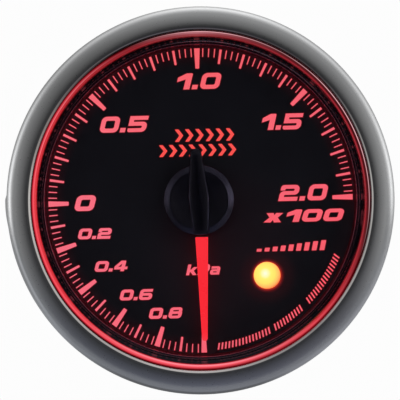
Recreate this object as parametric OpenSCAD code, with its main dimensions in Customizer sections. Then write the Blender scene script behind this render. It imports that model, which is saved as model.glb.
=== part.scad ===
// Round panel gauge for boost pressure, 60 mm class, stepper-motor driven.
// Millimetres. The dial faces -Y, +Z is up, +Y runs to the rear.
// The origin lies on the gauge's axis, in the plane where the bezel seats on a panel.
// Every piece is drawn in the dial's own axes (x right, y up, z towards the viewer)
// and is then turned upright by face().

/* [Bezel and lens] */
// Outside radius of the bezel ring
bezel_r = 31.5; // [31:0.1:32]
// Height of the bezel ring in front of the panel
bezel_h = 6; // [5.6:0.1:6.6]
// Inside radius of the bezel's front opening
bezel_open_r = 27.7; // [27.6:0.05:27.9]
// Radius where the crown of the bezel starts, outside the polished chamfer
bezel_crown_r = 28.35; // [28.2:0.05:28.6]
// How far the small index tab stands out of the bezel's rim
index_tab = 0.3; // [0.1:0.1:0.6]
// Clock angle of the index tab, degrees clockwise from the top
index_tab_deg = 268; // [180:1:359]
// Thickness of the smoked lens
lens_t = 1.6; // [1.2:0.1:1.6]

/* [Case] */
// Outside radius of the case barrel, for a 60 mm panel hole
barrel_r = 29.75; // [29.6:0.05:29.8]
// Length of the case barrel behind the panel
barrel_len = 30; // [30:0.1:30.2]
// Wall of the case barrel
barrel_wall = 1.2; // [1:0.1:1.2]
// Radius of the circle that carries the screw posts
post_circle_r = 23.5; // [23.2:0.1:23.8]
// Thickness of the rear cover's plate
cover_t = 2; // [1.6:0.1:2.4]

/* [Dial and pointer] */
// Radius of the foot of the black shroud, where the visible dial ends
dial_view_r = 25.03; // [24.9:0.01:25.2]
// Height of the dial's surface, measured from the panel plane
dial_z = -3.1; // [-3.2:0.05:-3.1]
// Distance from the pointer's axis to the needle's root
root_y = 5.95; // [5.8:0.05:6.4]
// Length of the needle from the pointer's axis to its tip
needle_len = 22.8; // [18:0.1:23.4]
// Width of the needle at its root
needle_root_w = 2.07; // [1.6:0.01:2.4]
// Width of the needle at its tip
needle_tip_w = 0.9; // [0.5:0.01:1.4]
// Radius of the round hub cap
hub_r = 5.7; // [5:0.1:6]
// Reach of the hub cap's tail behind the axis
tail_len = 8.35; // [6.5:0.1:8.5]
// Radius of the warning lamp's window
lamp_r = 2.2; // [1.8:0.05:2.3]
// Position of the warning lamp across the dial
lamp_x = 10.52; // [10:0.01:11]
// Position of the warning lamp below the axis
lamp_y = -12.43; // [-13:0.01:-12]

/* [Movement] */
// Tooth module of the slow pair, output wheel and intermediate pinion
slow_module = 0.2; // [0.19:0.01:0.2]
// Teeth of the output wheel
output_teeth = 96; // [96:1:96]
// Tooth module of the fast pair, intermediate wheel and rotor pinion
fast_module = 0.15; // [0.14:0.01:0.15]
// Teeth of the intermediate wheel
idler_teeth = 120; // [120:1:120]
// Teeth of both pinions
pinion_teeth = 8; // [8:1:8]
// Radius of the pointer shaft
shaft_r = 0.75; // [0.6:0.05:0.75]
// Radial running clearance of every shaft in its bearing
run_fit = 0.05; // [0.02:0.01:0.09]
// Sweep of the pointer between its stops, degrees
sweep_deg = 270; // [180:1:280]

/* [Rear connections] */
// Radius of the mounting studs
stud_r = 2; // [1.5:0.1:2.5]
// Distance between the mounting studs
stud_gap = 34; // [32:0.5:36]
// Height of the mounting studs above the axis
stud_y = 8; // [6:0.5:10]
// Length of the studs behind the rear cover
stud_len = 12; // [8:1:16]
// How far the sockets stand behind the rear cover
socket_out = 5.6; // [5:0.1:7]

/* [Hidden] */
$fn = 96;

// Levels along the gauge's axis, z towards the viewer.
lip_t = 0.6;
flange_top = 1.8;
gasket_top = 2.4;
lens_top = gasket_top + lens_t;
dial_t = 0.5;
dial_back = dial_z - dial_t;
guide_back = dial_back - 2.5;
board_top = -12;
board_back = -13.6;
drive_top = -24.6;
drive_back = -26.2;
seal_t = 0.4;
cover_in = -barrel_len - seal_t;
cover_out = cover_in - cover_t;
m_front = board_back;
m_split = -14.4;
m_floor = -21.8;
m_back = -22.6;
stator_z = -19.6;

// Radii that follow from the case.
barrel_in = barrel_r - barrel_wall;
halo_in = 26.5;
halo_out = 27.5;
posts = [90, 210, 330];

// Centres of the gear train.
slow_c = slow_module * (output_teeth + pinion_teeth) / 2;
fast_c = fast_module * (idler_teeth + pinion_teeth) / 2;
idler_dir = 240;
rotor_dir = -15;
idler_p = [slow_c * cos(idler_dir), slow_c * sin(idler_dir)];
rotor_p = [idler_p[0] + fast_c * cos(rotor_dir), idler_p[1] + fast_c * sin(rotor_dir)];
coil_dirs = [60, 200];

// Sockets: centre, outside size, mouth size, number of contacts.
power_c = [-8.5, -12.5];
sensor_c = [8.5, -12.5];
socket_back = cover_out - socket_out;

// ---- helpers --------------------------------------------------------------

module face() { rotate([90, 0, 0]) children(); }

// A plain ring between two radii and two levels.
module ring(ri, ro, z0, z1) {
    rotate_extrude() translate([ri, z0]) square([ro - ri, z1 - z0]);
}

// A round bar between two levels.
module bar(r, z0, z1) { translate([0, 0, z0]) cylinder(r = r, h = z1 - z0); }

// A rectangle with round corners, made of true arcs.
module rrect(w, h, r) {
    square([w - 2 * r, h], center = true);
    square([w, h - 2 * r], center = true);
    for (sx = [-1, 1], sy = [-1, 1])
        translate([sx * (w / 2 - r), sy * (h / 2 - r)]) circle(r = r);
}

module block(w, h, z0, z1) {
    translate([-w / 2, -h / 2, z0]) cube([w, h, z1 - z0]);
}

// Involute angle in degrees at radius q for base radius b.
function inv(q, b) = let (t = sqrt(max(q * q / (b * b) - 1, 0))) t * 180 / PI - atan(t);

// Outline of a spur gear: n teeth of module m, addendum a, dedendum d (in modules),
// tooth thickness factor tf and s points along each flank.
function gear_pts(m, n, a, d, tf, s) =
    let (r = m * n / 2, b = r * cos(20), ra = r + a * m, rr = r - d * m,
        half = 90 / n * tf + inv(r, b), r0 = max(b, rr),
        flank = concat(rr < b ? [[rr, half]] : [],
            [for (i = [0:s - 1]) let (q = r0 + (ra - r0) * i / (s - 1)) [q, half - inv(q, b)]]),
        k = len(flank))
    [for (t = [0:n - 1]) each
        [for (j = [0:2 * k - 1])
            let (f = j < k ? flank[j] : flank[2 * k - 1 - j],
                ang = 360 * t / n + (j < k ? -f[1] : f[1]))
            [f[0] * cos(ang), f[0] * sin(ang)]]];

module wheel_2d(m, n) { polygon(gear_pts(m, n, 0.9, 1.2, 0.8, 2)); }
module pinion_2d(m, n) { polygon(gear_pts(m, n, 1, 1.15, 0.8, 3)); }

// ---- front -----------------------------------------------------------------

// Crowned ring with a polished inner chamfer; its rear lip is rolled under the case flange.
module bezel_ring() {
    crown = [for (i = [0:18]) let (t = 90 * i / 18)
        [bezel_crown_r + (bezel_r - bezel_crown_r) * cos(t), 2.3 + (bezel_h - 2.3) * sin(t)]];
    color([0.42, 0.43, 0.46]) face() {
        rotate_extrude() polygon(concat(
            [[29.85, 0], [bezel_r - 0.3, 0], [bezel_r, 0.3]], crown,
            [[bezel_open_r + 0.4, bezel_h], [bezel_open_r, bezel_h - 0.4],
             [bezel_open_r, lens_top], [30.65, lens_top], [30.65, lip_t], [29.85, lip_t]]));
        rotate([0, 0, 90 - index_tab_deg]) translate([bezel_r - 0.5, -2.2, 0.3])
            cube([0.5 + index_tab, 4.4, 1.6]);
    }
}

module lens() {
    color([0.12, 0.12, 0.14, 0.35]) face() bar(30.3, gasket_top, lens_top);
}

module lens_gasket() {
    color([0.05, 0.05, 0.05]) face() ring(27.8, 30.3, flange_top, gasket_top);
}

// Ring-shaped light pipe: a convex bead seen inside the bezel, a tube and a foot on the board.
module halo_light_ring() {
    bead = [for (i = [0:10]) let (t = 180 * i / 10)
        [(halo_in + halo_out) / 2 + (halo_out - halo_in) / 2 * cos(t), 1.4 + 0.5 * sin(t)]];
    color([0.9, 0.15, 0.2]) face() rotate_extrude() polygon(concat(
        [[26.7, -11.3], [27.9, -11.3], [27.9, board_top], [28.4, board_top], [28.4, -10.4],
         [halo_out, -10.4], [halo_out, 1], [28.3, 1], [28.3, flange_top], [27.8, flange_top],
         [27.8, 1.4]], bead, [[halo_in, 1.2], [26.7, 1.2]]));
}

// Gloss black cone between the light ring and the dial.
module dial_shroud() {
    color([0.03, 0.03, 0.04]) face() rotate_extrude() polygon([
        [dial_view_r, dial_z], [26.6, dial_z], [26.6, 1.2], [26.48, 1.2]]);
}

module dial_face() {
    color([0.06, 0.06, 0.07]) face() difference() {
        bar(26.5, dial_back, dial_z);
        bar(2.6, dial_back - 1, dial_z + 1);
        translate([lamp_x, lamp_y, 0]) bar(lamp_r, dial_back - 1, dial_z + 1);
    }
}

// ---- pointer ---------------------------------------------------------------

// Lit bar of the pointer, straight down at rest, with a tongue that plugs into the boss.
module needle() {
    color([1, 0.12, 0.15]) face() {
        translate([0, 0, -1.8]) linear_extrude(0.8) polygon([
            [-needle_root_w / 2, -root_y], [-needle_tip_w / 2, -needle_len + 0.25],
            [-needle_tip_w / 2 + 0.2, -needle_len], [needle_tip_w / 2 - 0.2, -needle_len],
            [needle_tip_w / 2, -needle_len + 0.25], [needle_root_w / 2, -root_y]]);
        translate([-0.5, -root_y, -1.6]) cube([1, root_y - 3.9, 0.4]);
    }
}

// Moulded boss pressed on the shaft; its short arm holds the needle.
module pointer_boss() {
    color([0.1, 0.1, 0.11]) face() difference() {
        union() {
            bar(2.2, -2.5, -0.1);
            bar(3.4, -1.8, -1);
            translate([-0.95, -root_y, -1.8]) cube([1.9, root_y - 2.3, 0.8]);
        }
        bar(shaft_r, -3, 0);
        translate([-0.5, -root_y, -1.6]) cube([1, root_y - 3.9, 0.4]);
    }
}

// Round cap with a bevelled edge and a raised boat-shaped ridge that runs out as a tail.
module hub_cap() {
    color([0.08, 0.08, 0.1]) face() {
        rotate_extrude() polygon([
            [0, 0.5], [2.2, 0.5], [2.2, -0.8], [3, -0.8], [3, 0.5], [hub_r - 0.8, 0.5],
            [hub_r - 0.8, -0.7], [hub_r, -0.7], [hub_r, 0.45], [hub_r - 0.9, 1.15], [0, 1.15]]);
        translate([0, 0, 0.5]) linear_extrude(1.15) polygon([
            [-1.08, -5.5], [-1.25, -4.3], [-1.53, -1.6], [-1.62, 0.4], [-1.6, 0.9], [-1.34, 3.3],
            [-0.92, 6.9], [-0.8, tail_len - 0.25], [-0.55, tail_len], [0.55, tail_len],
            [0.8, tail_len - 0.25], [0.92, 6.9], [1.34, 3.3], [1.6, 0.9], [1.62, 0.4], [1.53, -1.6],
            [1.25, -4.3], [1.08, -5.5]]);
    }
}

module pointer_shaft() {
    color([0.75, 0.76, 0.78]) face() bar(shaft_r, -21.6, -0.4);
}

// ---- gear train ------------------------------------------------------------

// Output wheel with hub and the arc-shaped tab that meets the stop.
module output_gear() {
    color([0.9, 0.88, 0.8]) face() difference() {
        union() {
            translate([0, 0, -15.8]) linear_extrude(0.6) wheel_2d(slow_module, output_teeth);
            bar(1.8, -16.3, -15.2);
            rotate([0, 0, 60]) rotate_extrude(angle = 60) translate([6, -15.4]) square([1, 0.7]);
        }
        bar(shaft_r, -17, -14);
        for (a = [210, 270, 330]) rotate([0, 0, a]) translate([5.2, 0, 0]) bar(1.4, -17, -14);
    }
}

// Intermediate wheel and pinion moulded in one, with both arbor ends.
module intermediate_gear() {
    color([0.85, 0.83, 0.76]) face() translate([idler_p[0], idler_p[1], 0]) difference() {
        union() {
            translate([0, 0, -17.2]) linear_extrude(0.6) wheel_2d(fast_module, idler_teeth);
            translate([0, 0, -16.7]) linear_extrude(1.65) rotate([0, 0, 37.5])
                pinion_2d(slow_module, pinion_teeth);
            bar(0.9, -17.6, -17.1);
            bar(0.4, -22, -13.9);
        }
        for (a = [30, 150, 270]) rotate([0, 0, a]) translate([5, 0, 0]) bar(1.4, -18, -16);
    }
}

module rotor_pinion() {
    color([0.8, 0.8, 0.82]) face() translate([rotor_p[0], rotor_p[1], 0]) {
        translate([0, 0, -17.5]) linear_extrude(1.2) rotate([0, 0, 7.5])
            pinion_2d(fast_module, pinion_teeth);
        bar(0.6, -18, -17.4);
        bar(0.35, -22, -13.9);
    }
}

module rotor_magnet() {
    color([0.25, 0.25, 0.27]) face() translate([rotor_p[0], rotor_p[1], 0])
        ring(0.35, 2.8, -20.9, -18);
}

// ---- motor -----------------------------------------------------------------

module motor_case_front() {
    color([0.14, 0.14, 0.15]) face() difference() {
        union() {
            translate([0, -4.3, m_split]) linear_extrude(m_front - m_split) rrect(32, 31.4, 5);
            bar(1.8, m_split, -12.4);
            translate([idler_p[0], idler_p[1], 0]) bar(1, -14.9, m_split + 0.1);
            translate([rotor_p[0], rotor_p[1], 0]) bar(1, -15.4, m_split + 0.1);
            for (x = [-9, 9]) translate([x, 9, 0]) bar(1, m_split + 0.1, board_top);
            // Stop for the output wheel's tab.
            rotate([0, 0, 135 - (89 - 60) / 2 + 0.3]) rotate_extrude(angle = 28.4)
                translate([5.9, -14.95]) square([1.2, 0.6]);
        }
        bar(shaft_r + run_fit, -16, -12);
        translate([idler_p[0], idler_p[1], 0]) bar(0.4 + run_fit, -16, -13.8);
        translate([rotor_p[0], rotor_p[1], 0]) bar(0.35 + run_fit, -16, -13.8);
        motor_pin_places() bar(0.35, -16, -13);
    }
}

module motor_case_rear() {
    color([0.16, 0.16, 0.17]) face() difference() {
        union() {
            difference() {
                translate([0, -4.3, m_back]) linear_extrude(m_split - m_back) rrect(32, 31.4, 5);
                translate([0, -4.3, m_floor]) linear_extrude(m_split - m_floor + 1)
                    rrect(30.4, 29.8, 4.2);
            }
            bar(1.6, m_floor - 0.1, -17.9);
            translate([idler_p[0], idler_p[1], 0]) bar(1, m_floor - 0.1, -17.9);
            translate([rotor_p[0], rotor_p[1], 0]) bar(1, m_floor - 0.1, -21.2);
        }
        bar(shaft_r + run_fit, -22, -17);
        translate([idler_p[0], idler_p[1], 0]) bar(0.4 + run_fit, -22.2, -17);
        translate([rotor_p[0], rotor_p[1], 0]) bar(0.35 + run_fit, -22.2, -17);
    }
}

// Laminated core: an eye round the rotor, two limbs through the coils and a third pole.
module stator_core() {
    color([0.55, 0.55, 0.58]) face() translate([rotor_p[0], rotor_p[1], stator_z - 0.4])
        linear_extrude(0.8) difference() {
            union() {
                circle(r = 5);
                for (a = coil_dirs) rotate([0, 0, a]) {
                    translate([4, -0.8]) square([10, 1.6]);
                    translate([13, -1.9]) square([1.1, 3.8]);
                }
                rotate([0, 0, 310]) translate([4, -1.4]) square([3.4, 2.8]);
            }
            circle(r = 3.15);
        }
}

module coil_places() {
    for (a = coil_dirs) translate([rotor_p[0], rotor_p[1], stator_z]) rotate([0, 0, a])
        rotate([0, 90, 0]) children();
}

module motor_bobbins() {
    color([0.85, 0.84, 0.78]) face() coil_places() difference() {
        union() {
            translate([0, 0, 5.6]) cylinder(r = 1.25, h = 7);
            for (z = [5.6, 12]) translate([0, 0, z]) cylinder(r = 2, h = 0.6);
        }
        translate([-0.45, -0.85, 5]) cube([0.9, 1.7, 8]);
    }
}

module motor_coils() {
    color([0.72, 0.4, 0.2]) face() coil_places() translate([0, 0, 6.2]) difference() {
        cylinder(r = 1.85, h = 5.8);
        translate([0, 0, -1]) cylinder(r = 1.25, h = 8);
    }
}

module motor_pin_places() {
    for (x = [-13.5, 13.5], y = [-16.5, 8]) translate([x, y, 0]) children();
}

module motor_pins() {
    color([0.85, 0.8, 0.6]) face() motor_pin_places() bar(0.35, -16, -11.5);
}

// ---- light and boards -----------------------------------------------------

module warning_lamp_lens() {
    color([1, 0.75, 0.1]) face() translate([lamp_x, lamp_y, 0]) {
        rotate_extrude() polygon(concat([[0, guide_back], [2.5, guide_back], [2.5, guide_back + 0.8],
            [lamp_r - 0.05, guide_back + 0.8]],
            [for (i = [0:6]) let (r = (lamp_r - 0.05) * (1 - i / 6)) [r, dial_z + 0.3 - 0.3 * pow(r / lamp_r, 2)]]));
    }
}

module warning_led() {
    color([1, 0.8, 0.2]) face() translate([lamp_x, lamp_y, 0]) rotate_extrude() polygon(concat(
        [[0, board_top], [1.9, board_top], [1.9, board_top + 0.8], [1.5, board_top + 0.8]],
        [for (i = [0:8]) let (t = 90 * i / 8) [1.5 * cos(t), -9.5 + 1.5 * sin(t)]]));
}

module light_guide() {
    color([0.85, 0.95, 1, 0.5]) face() difference() {
        bar(25.1, guide_back, dial_back);
        bar(3, guide_back - 1, dial_back + 1);
        translate([lamp_x, lamp_y, 0]) bar(2.6, guide_back - 1, dial_back + 1);
    }
}

// White housing: outer wall, shaft collar, lamp tube, ribs and three screw bosses.
module reflector_housing() {
    color([0.94, 0.94, 0.92]) face() difference() {
        union() {
            ring(25.2, 26.2, board_top, dial_back);
            ring(24.2, 25.3, guide_back - 1, guide_back);
            ring(5, 5.8, board_top, guide_back);
            for (a = [0, 180, 270]) rotate([0, 0, a]) translate([5.4, -0.5, board_top])
                cube([20.2, 1, guide_back - board_top]);
            rotate([0, 0, atan2(lamp_y, lamp_x)]) translate([5.4, -0.5, board_top])
                cube([8.2, 1, guide_back - board_top]);
            translate([lamp_x, lamp_y, 0]) bar(3.1, board_top, guide_back);
            for (a = posts) rotate([0, 0, a]) translate([post_circle_r, 0, 0])
                difference() {
                    bar(2.3, board_top, -10.5);
                    bar(1, board_top - 1, -10);
                }
        }
        translate([lamp_x, lamp_y, 0]) bar(2.3, board_top - 1, guide_back + 1);
    }
}

module led_board() {
    color([0.1, 0.32, 0.2]) face() difference() {
        bar(28.2, board_back, board_top);
        bar(2, board_back - 1, board_top + 1);
        for (a = posts) rotate([0, 0, a]) translate([post_circle_r, 0, 0])
            bar(1, board_back - 1, board_top + 1);
        for (x = [-9, 9]) translate([x, 9, 0]) bar(1, board_back - 1, board_top + 1);
        motor_pin_places() bar(0.35, board_back - 1, board_top + 1);
        header_places() bar(0.32, board_back - 1, board_top + 1);
    }
}

module dial_leds() {
    color([1, 0.95, 0.85]) face() for (a = [22.5:45:337.5]) rotate([0, 0, a])
        translate([18, 0, 0]) { block(1.6, 3, board_top, board_top + 0.5);
            block(1.4, 1.8, board_top + 0.4, board_top + 1.1); }
}

module pointer_leds() {
    color([1, 0.3, 0.3]) face() for (a = [30, 150, 270]) rotate([0, 0, a])
        translate([3.5, 0, 0]) { block(0.9, 1.8, board_top, board_top + 0.4);
            block(0.8, 1.1, board_top + 0.3, board_top + 0.8); }
}

module halo_leds() {
    color([1, 0.3, 0.3]) face() for (a = [15:30:345]) rotate([0, 0, a])
        translate([27.15, 0, 0]) block(0.7, 1.6, board_top, board_top + 0.6);
}

// Small pan-head screw along the axis, head up, with a cross recess.
module screw(rs, rh, head, len) {
    difference() {
        union() {
            translate([0, 0, -len]) cylinder(r = rs, h = len + head / 2);
            cylinder(r = rh, h = head * 0.6);
            translate([0, 0, head * 0.6]) cylinder(r1 = rh, r2 = rh * 0.75, h = head * 0.4);
        }
        for (a = [0, 90]) rotate([0, 0, a])
            translate([-rh * 0.6, -rh * 0.14, head * 0.45]) cube([rh * 1.2, rh * 0.28, head]);
    }
}

module board_screws() {
    color([0.7, 0.7, 0.72]) face() for (a = posts) rotate([0, 0, a])
        translate([post_circle_r, 0, -10.5]) screw(0.8, 1.7, 1.1, 8);
}

module header_places() {
    for (i = [0:5]) translate([-6.35 + 2.54 * i, 13.65, 0]) children();
}

module driver_board() {
    color([0.1, 0.32, 0.2]) face() difference() {
        bar(27.6, drive_back, drive_top);
        for (a = posts) rotate([0, 0, a]) {
            translate([post_circle_r, 0, 0]) bar(2.3, drive_back - 1, drive_top + 1);
            translate([post_circle_r, -2.3, drive_back - 1]) cube([6, 4.6, drive_top - drive_back + 2]);
        }
        header_places() bar(0.32, drive_back - 1, drive_top + 1);
    }
}

module board_header() {
    color([0.06, 0.06, 0.06]) face() difference() {
        translate([0, 13.65, 0]) block(15.4, 2.5, drive_top, board_back);
        header_places() bar(0.32, drive_top - 1, board_back + 1);
    }
}

module header_pins() {
    color([0.85, 0.72, 0.4]) face() header_places() bar(0.32, drive_back - 0.9, board_top + 0.7);
}

module mcu_chip() {
    color([0.08, 0.08, 0.08]) face() translate([0, 1, 0]) {
        block(9, 9, drive_back - 1, drive_back);
        for (q = [0:3]) rotate([0, 0, 90 * q]) for (i = [-3.2:0.8:3.3])
            translate([i, 5, 0]) block(0.35, 1.2, drive_back - 0.3, drive_back);
    }
}

module voltage_regulator() {
    color([0.1, 0.1, 0.1]) face() translate([0, 18, 0]) {
        block(6.5, 3.6, drive_back - 1.6, drive_back);
        translate([0, 2.2, 0]) block(3, 1, drive_back - 0.6, drive_back);
        for (x = [-2.3, 0, 2.3]) translate([x, -2.2, 0]) block(0.8, 1, drive_back - 0.5, drive_back);
    }
}

module capacitors() {
    color([0.78, 0.78, 0.8]) face() for (x = [-11, 11]) translate([x, 19, 0]) {
        block(5.4, 5.4, drive_back - 0.5, drive_back);
        bar(2.5, drive_back - 3.2, drive_back - 0.4);
    }
}

// ---- rear -------------------------------------------------------------------

// Shrouded socket: a keyed mouth that opens to the rear.
module socket(c, w, h) {
    translate([c[0], c[1], 0]) difference() {
        block(w, h, socket_back, drive_back);
        block(w - 2, h - 2, socket_back - 1, -28.2);
        translate([0, h / 2 - 0.5, 0]) block(2.4, 2, socket_back - 1, socket_back + 4);
    }
}

module socket_pins(c, n, pitch) {
    translate([c[0], c[1], 0]) for (i = [0:n - 1])
        translate([(i - (n - 1) / 2) * pitch, -1, 0]) block(0.64, 0.64, -33.6, -28.2);
}

module power_socket() { color([0.9, 0.89, 0.84]) face() socket(power_c, 13, 8); }
module power_socket_pins() { color([0.85, 0.72, 0.4]) face() socket_pins(power_c, 4, 2.5); }
module sensor_socket() { color([0.12, 0.12, 0.13]) face() socket(sensor_c, 11, 8); }
module sensor_socket_pins() { color([0.85, 0.72, 0.4]) face() socket_pins(sensor_c, 3, 2.5); }

// Barrel with a front flange and three screw posts on ribs.
module case() {
    color([0.07, 0.07, 0.08]) face() difference() {
        union() {
            rotate_extrude() polygon([[barrel_in, -barrel_len], [barrel_r, -barrel_len],
                [barrel_r, 0], [29.2, 0], [29.2, lip_t], [30.6, lip_t], [30.6, flange_top],
                [barrel_in, flange_top]]);
            for (a = posts) rotate([0, 0, a]) {
                translate([post_circle_r, 0, 0]) bar(1.8, cover_in, board_back);
                translate([post_circle_r, -0.8, -28.4])
                    cube([barrel_in - post_circle_r + 0.3, 1.6, 28.4 + board_back]);
            }
        }
        for (a = posts) rotate([0, 0, a]) translate([post_circle_r, 0, 0]) {
            bar(0.8, -19, board_back + 1);
            bar(1, cover_in - 1, -22.4);
        }
    }
}

module rear_seal() {
    color([0.05, 0.05, 0.05]) face() ring(barrel_in, 29.4, cover_in, -barrel_len);
}

module rear_cover() {
    color([0.09, 0.09, 0.1]) face() difference() {
        union() {
            rotate_extrude() polygon([[0, cover_out], [28.9, cover_out], [29.4, cover_out + 0.5],
                [29.4, cover_in], [28.45, cover_in], [28.45, -28.6], [27.3, -28.6],
                [27.3, cover_in], [0, cover_in]]);
            for (p = [[-22, 0], [22, 0], [0, -22]]) translate([p[0], p[1], 0])
                bar(1.6, cover_in - 0.1, drive_back);
        }
        translate([power_c[0], power_c[1], 0]) block(13.3, 8.3, cover_out - 1, cover_in + 1);
        translate([sensor_c[0], sensor_c[1], 0]) block(11.3, 8.3, cover_out - 1, cover_in + 1);
        for (a = posts) rotate([0, 0, a]) translate([post_circle_r, 0, 0])
            bar(1.1, cover_out - 1, cover_in + 1);
        for (x = [-1, 1]) translate([x * stud_gap / 2, stud_y, 0])
            bar(stud_r + 0.27, cover_out - 1, cover_in + 1);
    }
}

module cover_screws() {
    color([0.72, 0.72, 0.74]) face() for (a = posts) rotate([0, 0, a])
        translate([post_circle_r, 0, cover_out]) mirror([0, 0, 1]) screw(1, 1.9, 1.3, 10);
}

module mounting_studs() {
    color([0.75, 0.75, 0.77]) face() for (x = [-1, 1]) translate([x * stud_gap / 2, stud_y, 0]) {
        translate([0, 0, cover_in]) cylinder(r = 4.04, h = 1.4, $fn = 6);
        bar(stud_r + 0.25, cover_out, cover_in + 0.1);
        bar(stud_r, cover_out - stud_len + 0.5, cover_out + 0.1);
        translate([0, 0, cover_out - stud_len]) cylinder(r1 = stud_r - 0.5, r2 = stud_r, h = 0.5);
    }
}

// ---- drawing ----------------------------------------------------------------

bezel_ring();
lens();
lens_gasket();
halo_light_ring();
dial_shroud();
dial_face();
needle();
hub_cap();
pointer_boss();
pointer_shaft();
output_gear();
intermediate_gear();
rotor_pinion();
rotor_magnet();
warning_lamp_lens();
warning_led();
light_guide();
reflector_housing();
led_board();
dial_leds();
pointer_leds();
halo_leds();
board_screws();
motor_case_front();
motor_case_rear();
stator_core();
motor_bobbins();
motor_coils();
motor_pins();
driver_board();
board_header();
header_pins();
mcu_chip();
voltage_regulator();
capacitors();
power_socket();
power_socket_pins();
sensor_socket();
sensor_socket_pins();
case();
rear_seal();
rear_cover();
cover_screws();
mounting_studs();
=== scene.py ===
import bpy
import bmesh
import math
from mathutils import Matrix, Vector
from mathutils.geometry import tessellate_polygon


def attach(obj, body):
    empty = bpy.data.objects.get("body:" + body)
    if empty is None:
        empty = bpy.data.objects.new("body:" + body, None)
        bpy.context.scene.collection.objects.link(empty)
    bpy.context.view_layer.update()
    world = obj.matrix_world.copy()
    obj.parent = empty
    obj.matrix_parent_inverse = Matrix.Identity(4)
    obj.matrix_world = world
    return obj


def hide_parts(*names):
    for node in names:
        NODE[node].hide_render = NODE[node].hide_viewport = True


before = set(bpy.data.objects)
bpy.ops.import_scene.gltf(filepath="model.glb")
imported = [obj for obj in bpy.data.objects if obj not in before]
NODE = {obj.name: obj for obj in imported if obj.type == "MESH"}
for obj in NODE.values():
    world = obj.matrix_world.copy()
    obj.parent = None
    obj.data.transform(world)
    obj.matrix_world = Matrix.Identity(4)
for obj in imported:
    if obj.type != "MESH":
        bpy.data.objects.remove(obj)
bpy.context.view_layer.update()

MM = 0.001
TAU = 2 * math.pi


def P(x, y, z):
    """Dial axes in mm (x right, y up, z towards the viewer) to the row frame in metres."""
    return Vector((x, -z, y)) * MM


# ---------------------------------------------------------------- camera and stage
cam_data = bpy.data.cameras.new("camera")
cam = bpy.data.objects.new("camera", cam_data)
bpy.context.scene.collection.objects.link(cam)
cam_data.sensor_width = 36.0
cam_data.lens = 831.9
cam_data.clip_start, cam_data.clip_end = 0.05, 20.0
cam.location = (-0.000085, -1.5, 0.000075)
ROLL = math.radians(-1.4)  # the gauge stands rolled a little in its picture
cam.rotation_mode = "QUATERNION"
cam.rotation_quaternion = (Matrix.Rotation(math.radians(90), 4, "X") @ Matrix.Rotation(ROLL, 4, "Z")).to_quaternion()
bpy.context.scene.camera = cam
bpy.context.scene.view_settings.view_transform = "Standard"
bpy.context.scene.view_settings.look = "None"


# ---------------------------------------------------------------- node helpers
def new_mat(name):
    m = bpy.data.materials.new(name)
    m.use_nodes = True
    nt = m.node_tree
    nt.nodes.clear()
    out = nt.nodes.new("ShaderNodeOutputMaterial")
    bsdf = nt.nodes.new("ShaderNodeBsdfPrincipled")
    nt.links.new(bsdf.outputs["BSDF"], out.inputs["Surface"])
    return m, nt, bsdf


def coords(nt, scale=(1, 1, 1)):
    tc = nt.nodes.new("ShaderNodeTexCoord")
    mp = nt.nodes.new("ShaderNodeMapping")
    mp.inputs["Scale"].default_value = scale
    nt.links.new(tc.outputs["Object"], mp.inputs["Vector"])
    return mp.outputs["Vector"]


def noise(nt, vec, scale, detail=3.0, rough=0.55):
    n = nt.nodes.new("ShaderNodeTexNoise")
    n.inputs["Scale"].default_value = scale
    n.inputs["Detail"].default_value = detail
    n.inputs["Roughness"].default_value = rough
    nt.links.new(vec, n.inputs["Vector"])
    return n.outputs["Fac"]


def ramp(nt, fac, stops, interp="LINEAR"):
    r = nt.nodes.new("ShaderNodeValToRGB")
    r.color_ramp.interpolation = interp
    e = r.color_ramp.elements
    while len(e) > 1:
        e.remove(e[-1])
    for k, (p, c) in enumerate(stops):
        el = e[0] if k == 0 else e.new(p)
        el.position = p
        c = (c, c, c) if isinstance(c, (int, float)) else c
        el.color = (c[0], c[1], c[2], 1)
    nt.links.new(fac, r.inputs["Fac"])
    return r.outputs["Color"]


def maprange(nt, v, a, b, c, d):
    m = nt.nodes.new("ShaderNodeMapRange")
    for i, x in zip(("From Min", "From Max", "To Min", "To Max"), (a, b, c, d)):
        m.inputs[i].default_value = x
    nt.links.new(v, m.inputs["Value"])
    return m.outputs["Result"]


def math_node(nt, op, a, b=None, clamp=False):
    m = nt.nodes.new("ShaderNodeMath")
    m.operation = op
    m.use_clamp = clamp
    for i, x in enumerate((a, b)):
        if x is None:
            continue
        if isinstance(x, (int, float)):
            m.inputs[i].default_value = x
        else:
            nt.links.new(x, m.inputs[i])
    return m.outputs["Value"]


def bump(nt, bsdf, height, strength, dist, under=None):
    b = nt.nodes.new("ShaderNodeBump")
    b.inputs["Strength"].default_value = strength
    b.inputs["Distance"].default_value = dist
    nt.links.new(height, b.inputs["Height"])
    if under is not None:
        nt.links.new(under, b.inputs["Normal"])
    nt.links.new(b.outputs["Normal"], bsdf.inputs["Normal"])
    return b.outputs["Normal"]


def radius_from_axis(nt):
    """Distance from the gauge's axis, in metres, from object coordinates."""
    tc = nt.nodes.new("ShaderNodeTexCoord")
    m = nt.nodes.new("ShaderNodeMapping")
    m.inputs["Scale"].default_value = (1, 0, 1)
    nt.links.new(tc.outputs["Object"], m.inputs["Vector"])
    v = nt.nodes.new("ShaderNodeVectorMath")
    v.operation = "LENGTH"
    nt.links.new(m.outputs["Vector"], v.inputs[0])
    return v.outputs["Value"]


def clock(nt):
    """0 to 1, clockwise from the top of the dial as it is read, from object coordinates."""
    tc = nt.nodes.new("ShaderNodeTexCoord")
    s = nt.nodes.new("ShaderNodeSeparateXYZ")
    nt.links.new(tc.outputs["Object"], s.inputs["Vector"])
    a = math_node(nt, "ARCTAN2", s.outputs["X"], s.outputs["Z"])
    a = math_node(nt, "DIVIDE", a, TAU)
    return math_node(nt, "FRACT", math_node(nt, "ADD", a, 1.0))


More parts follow.
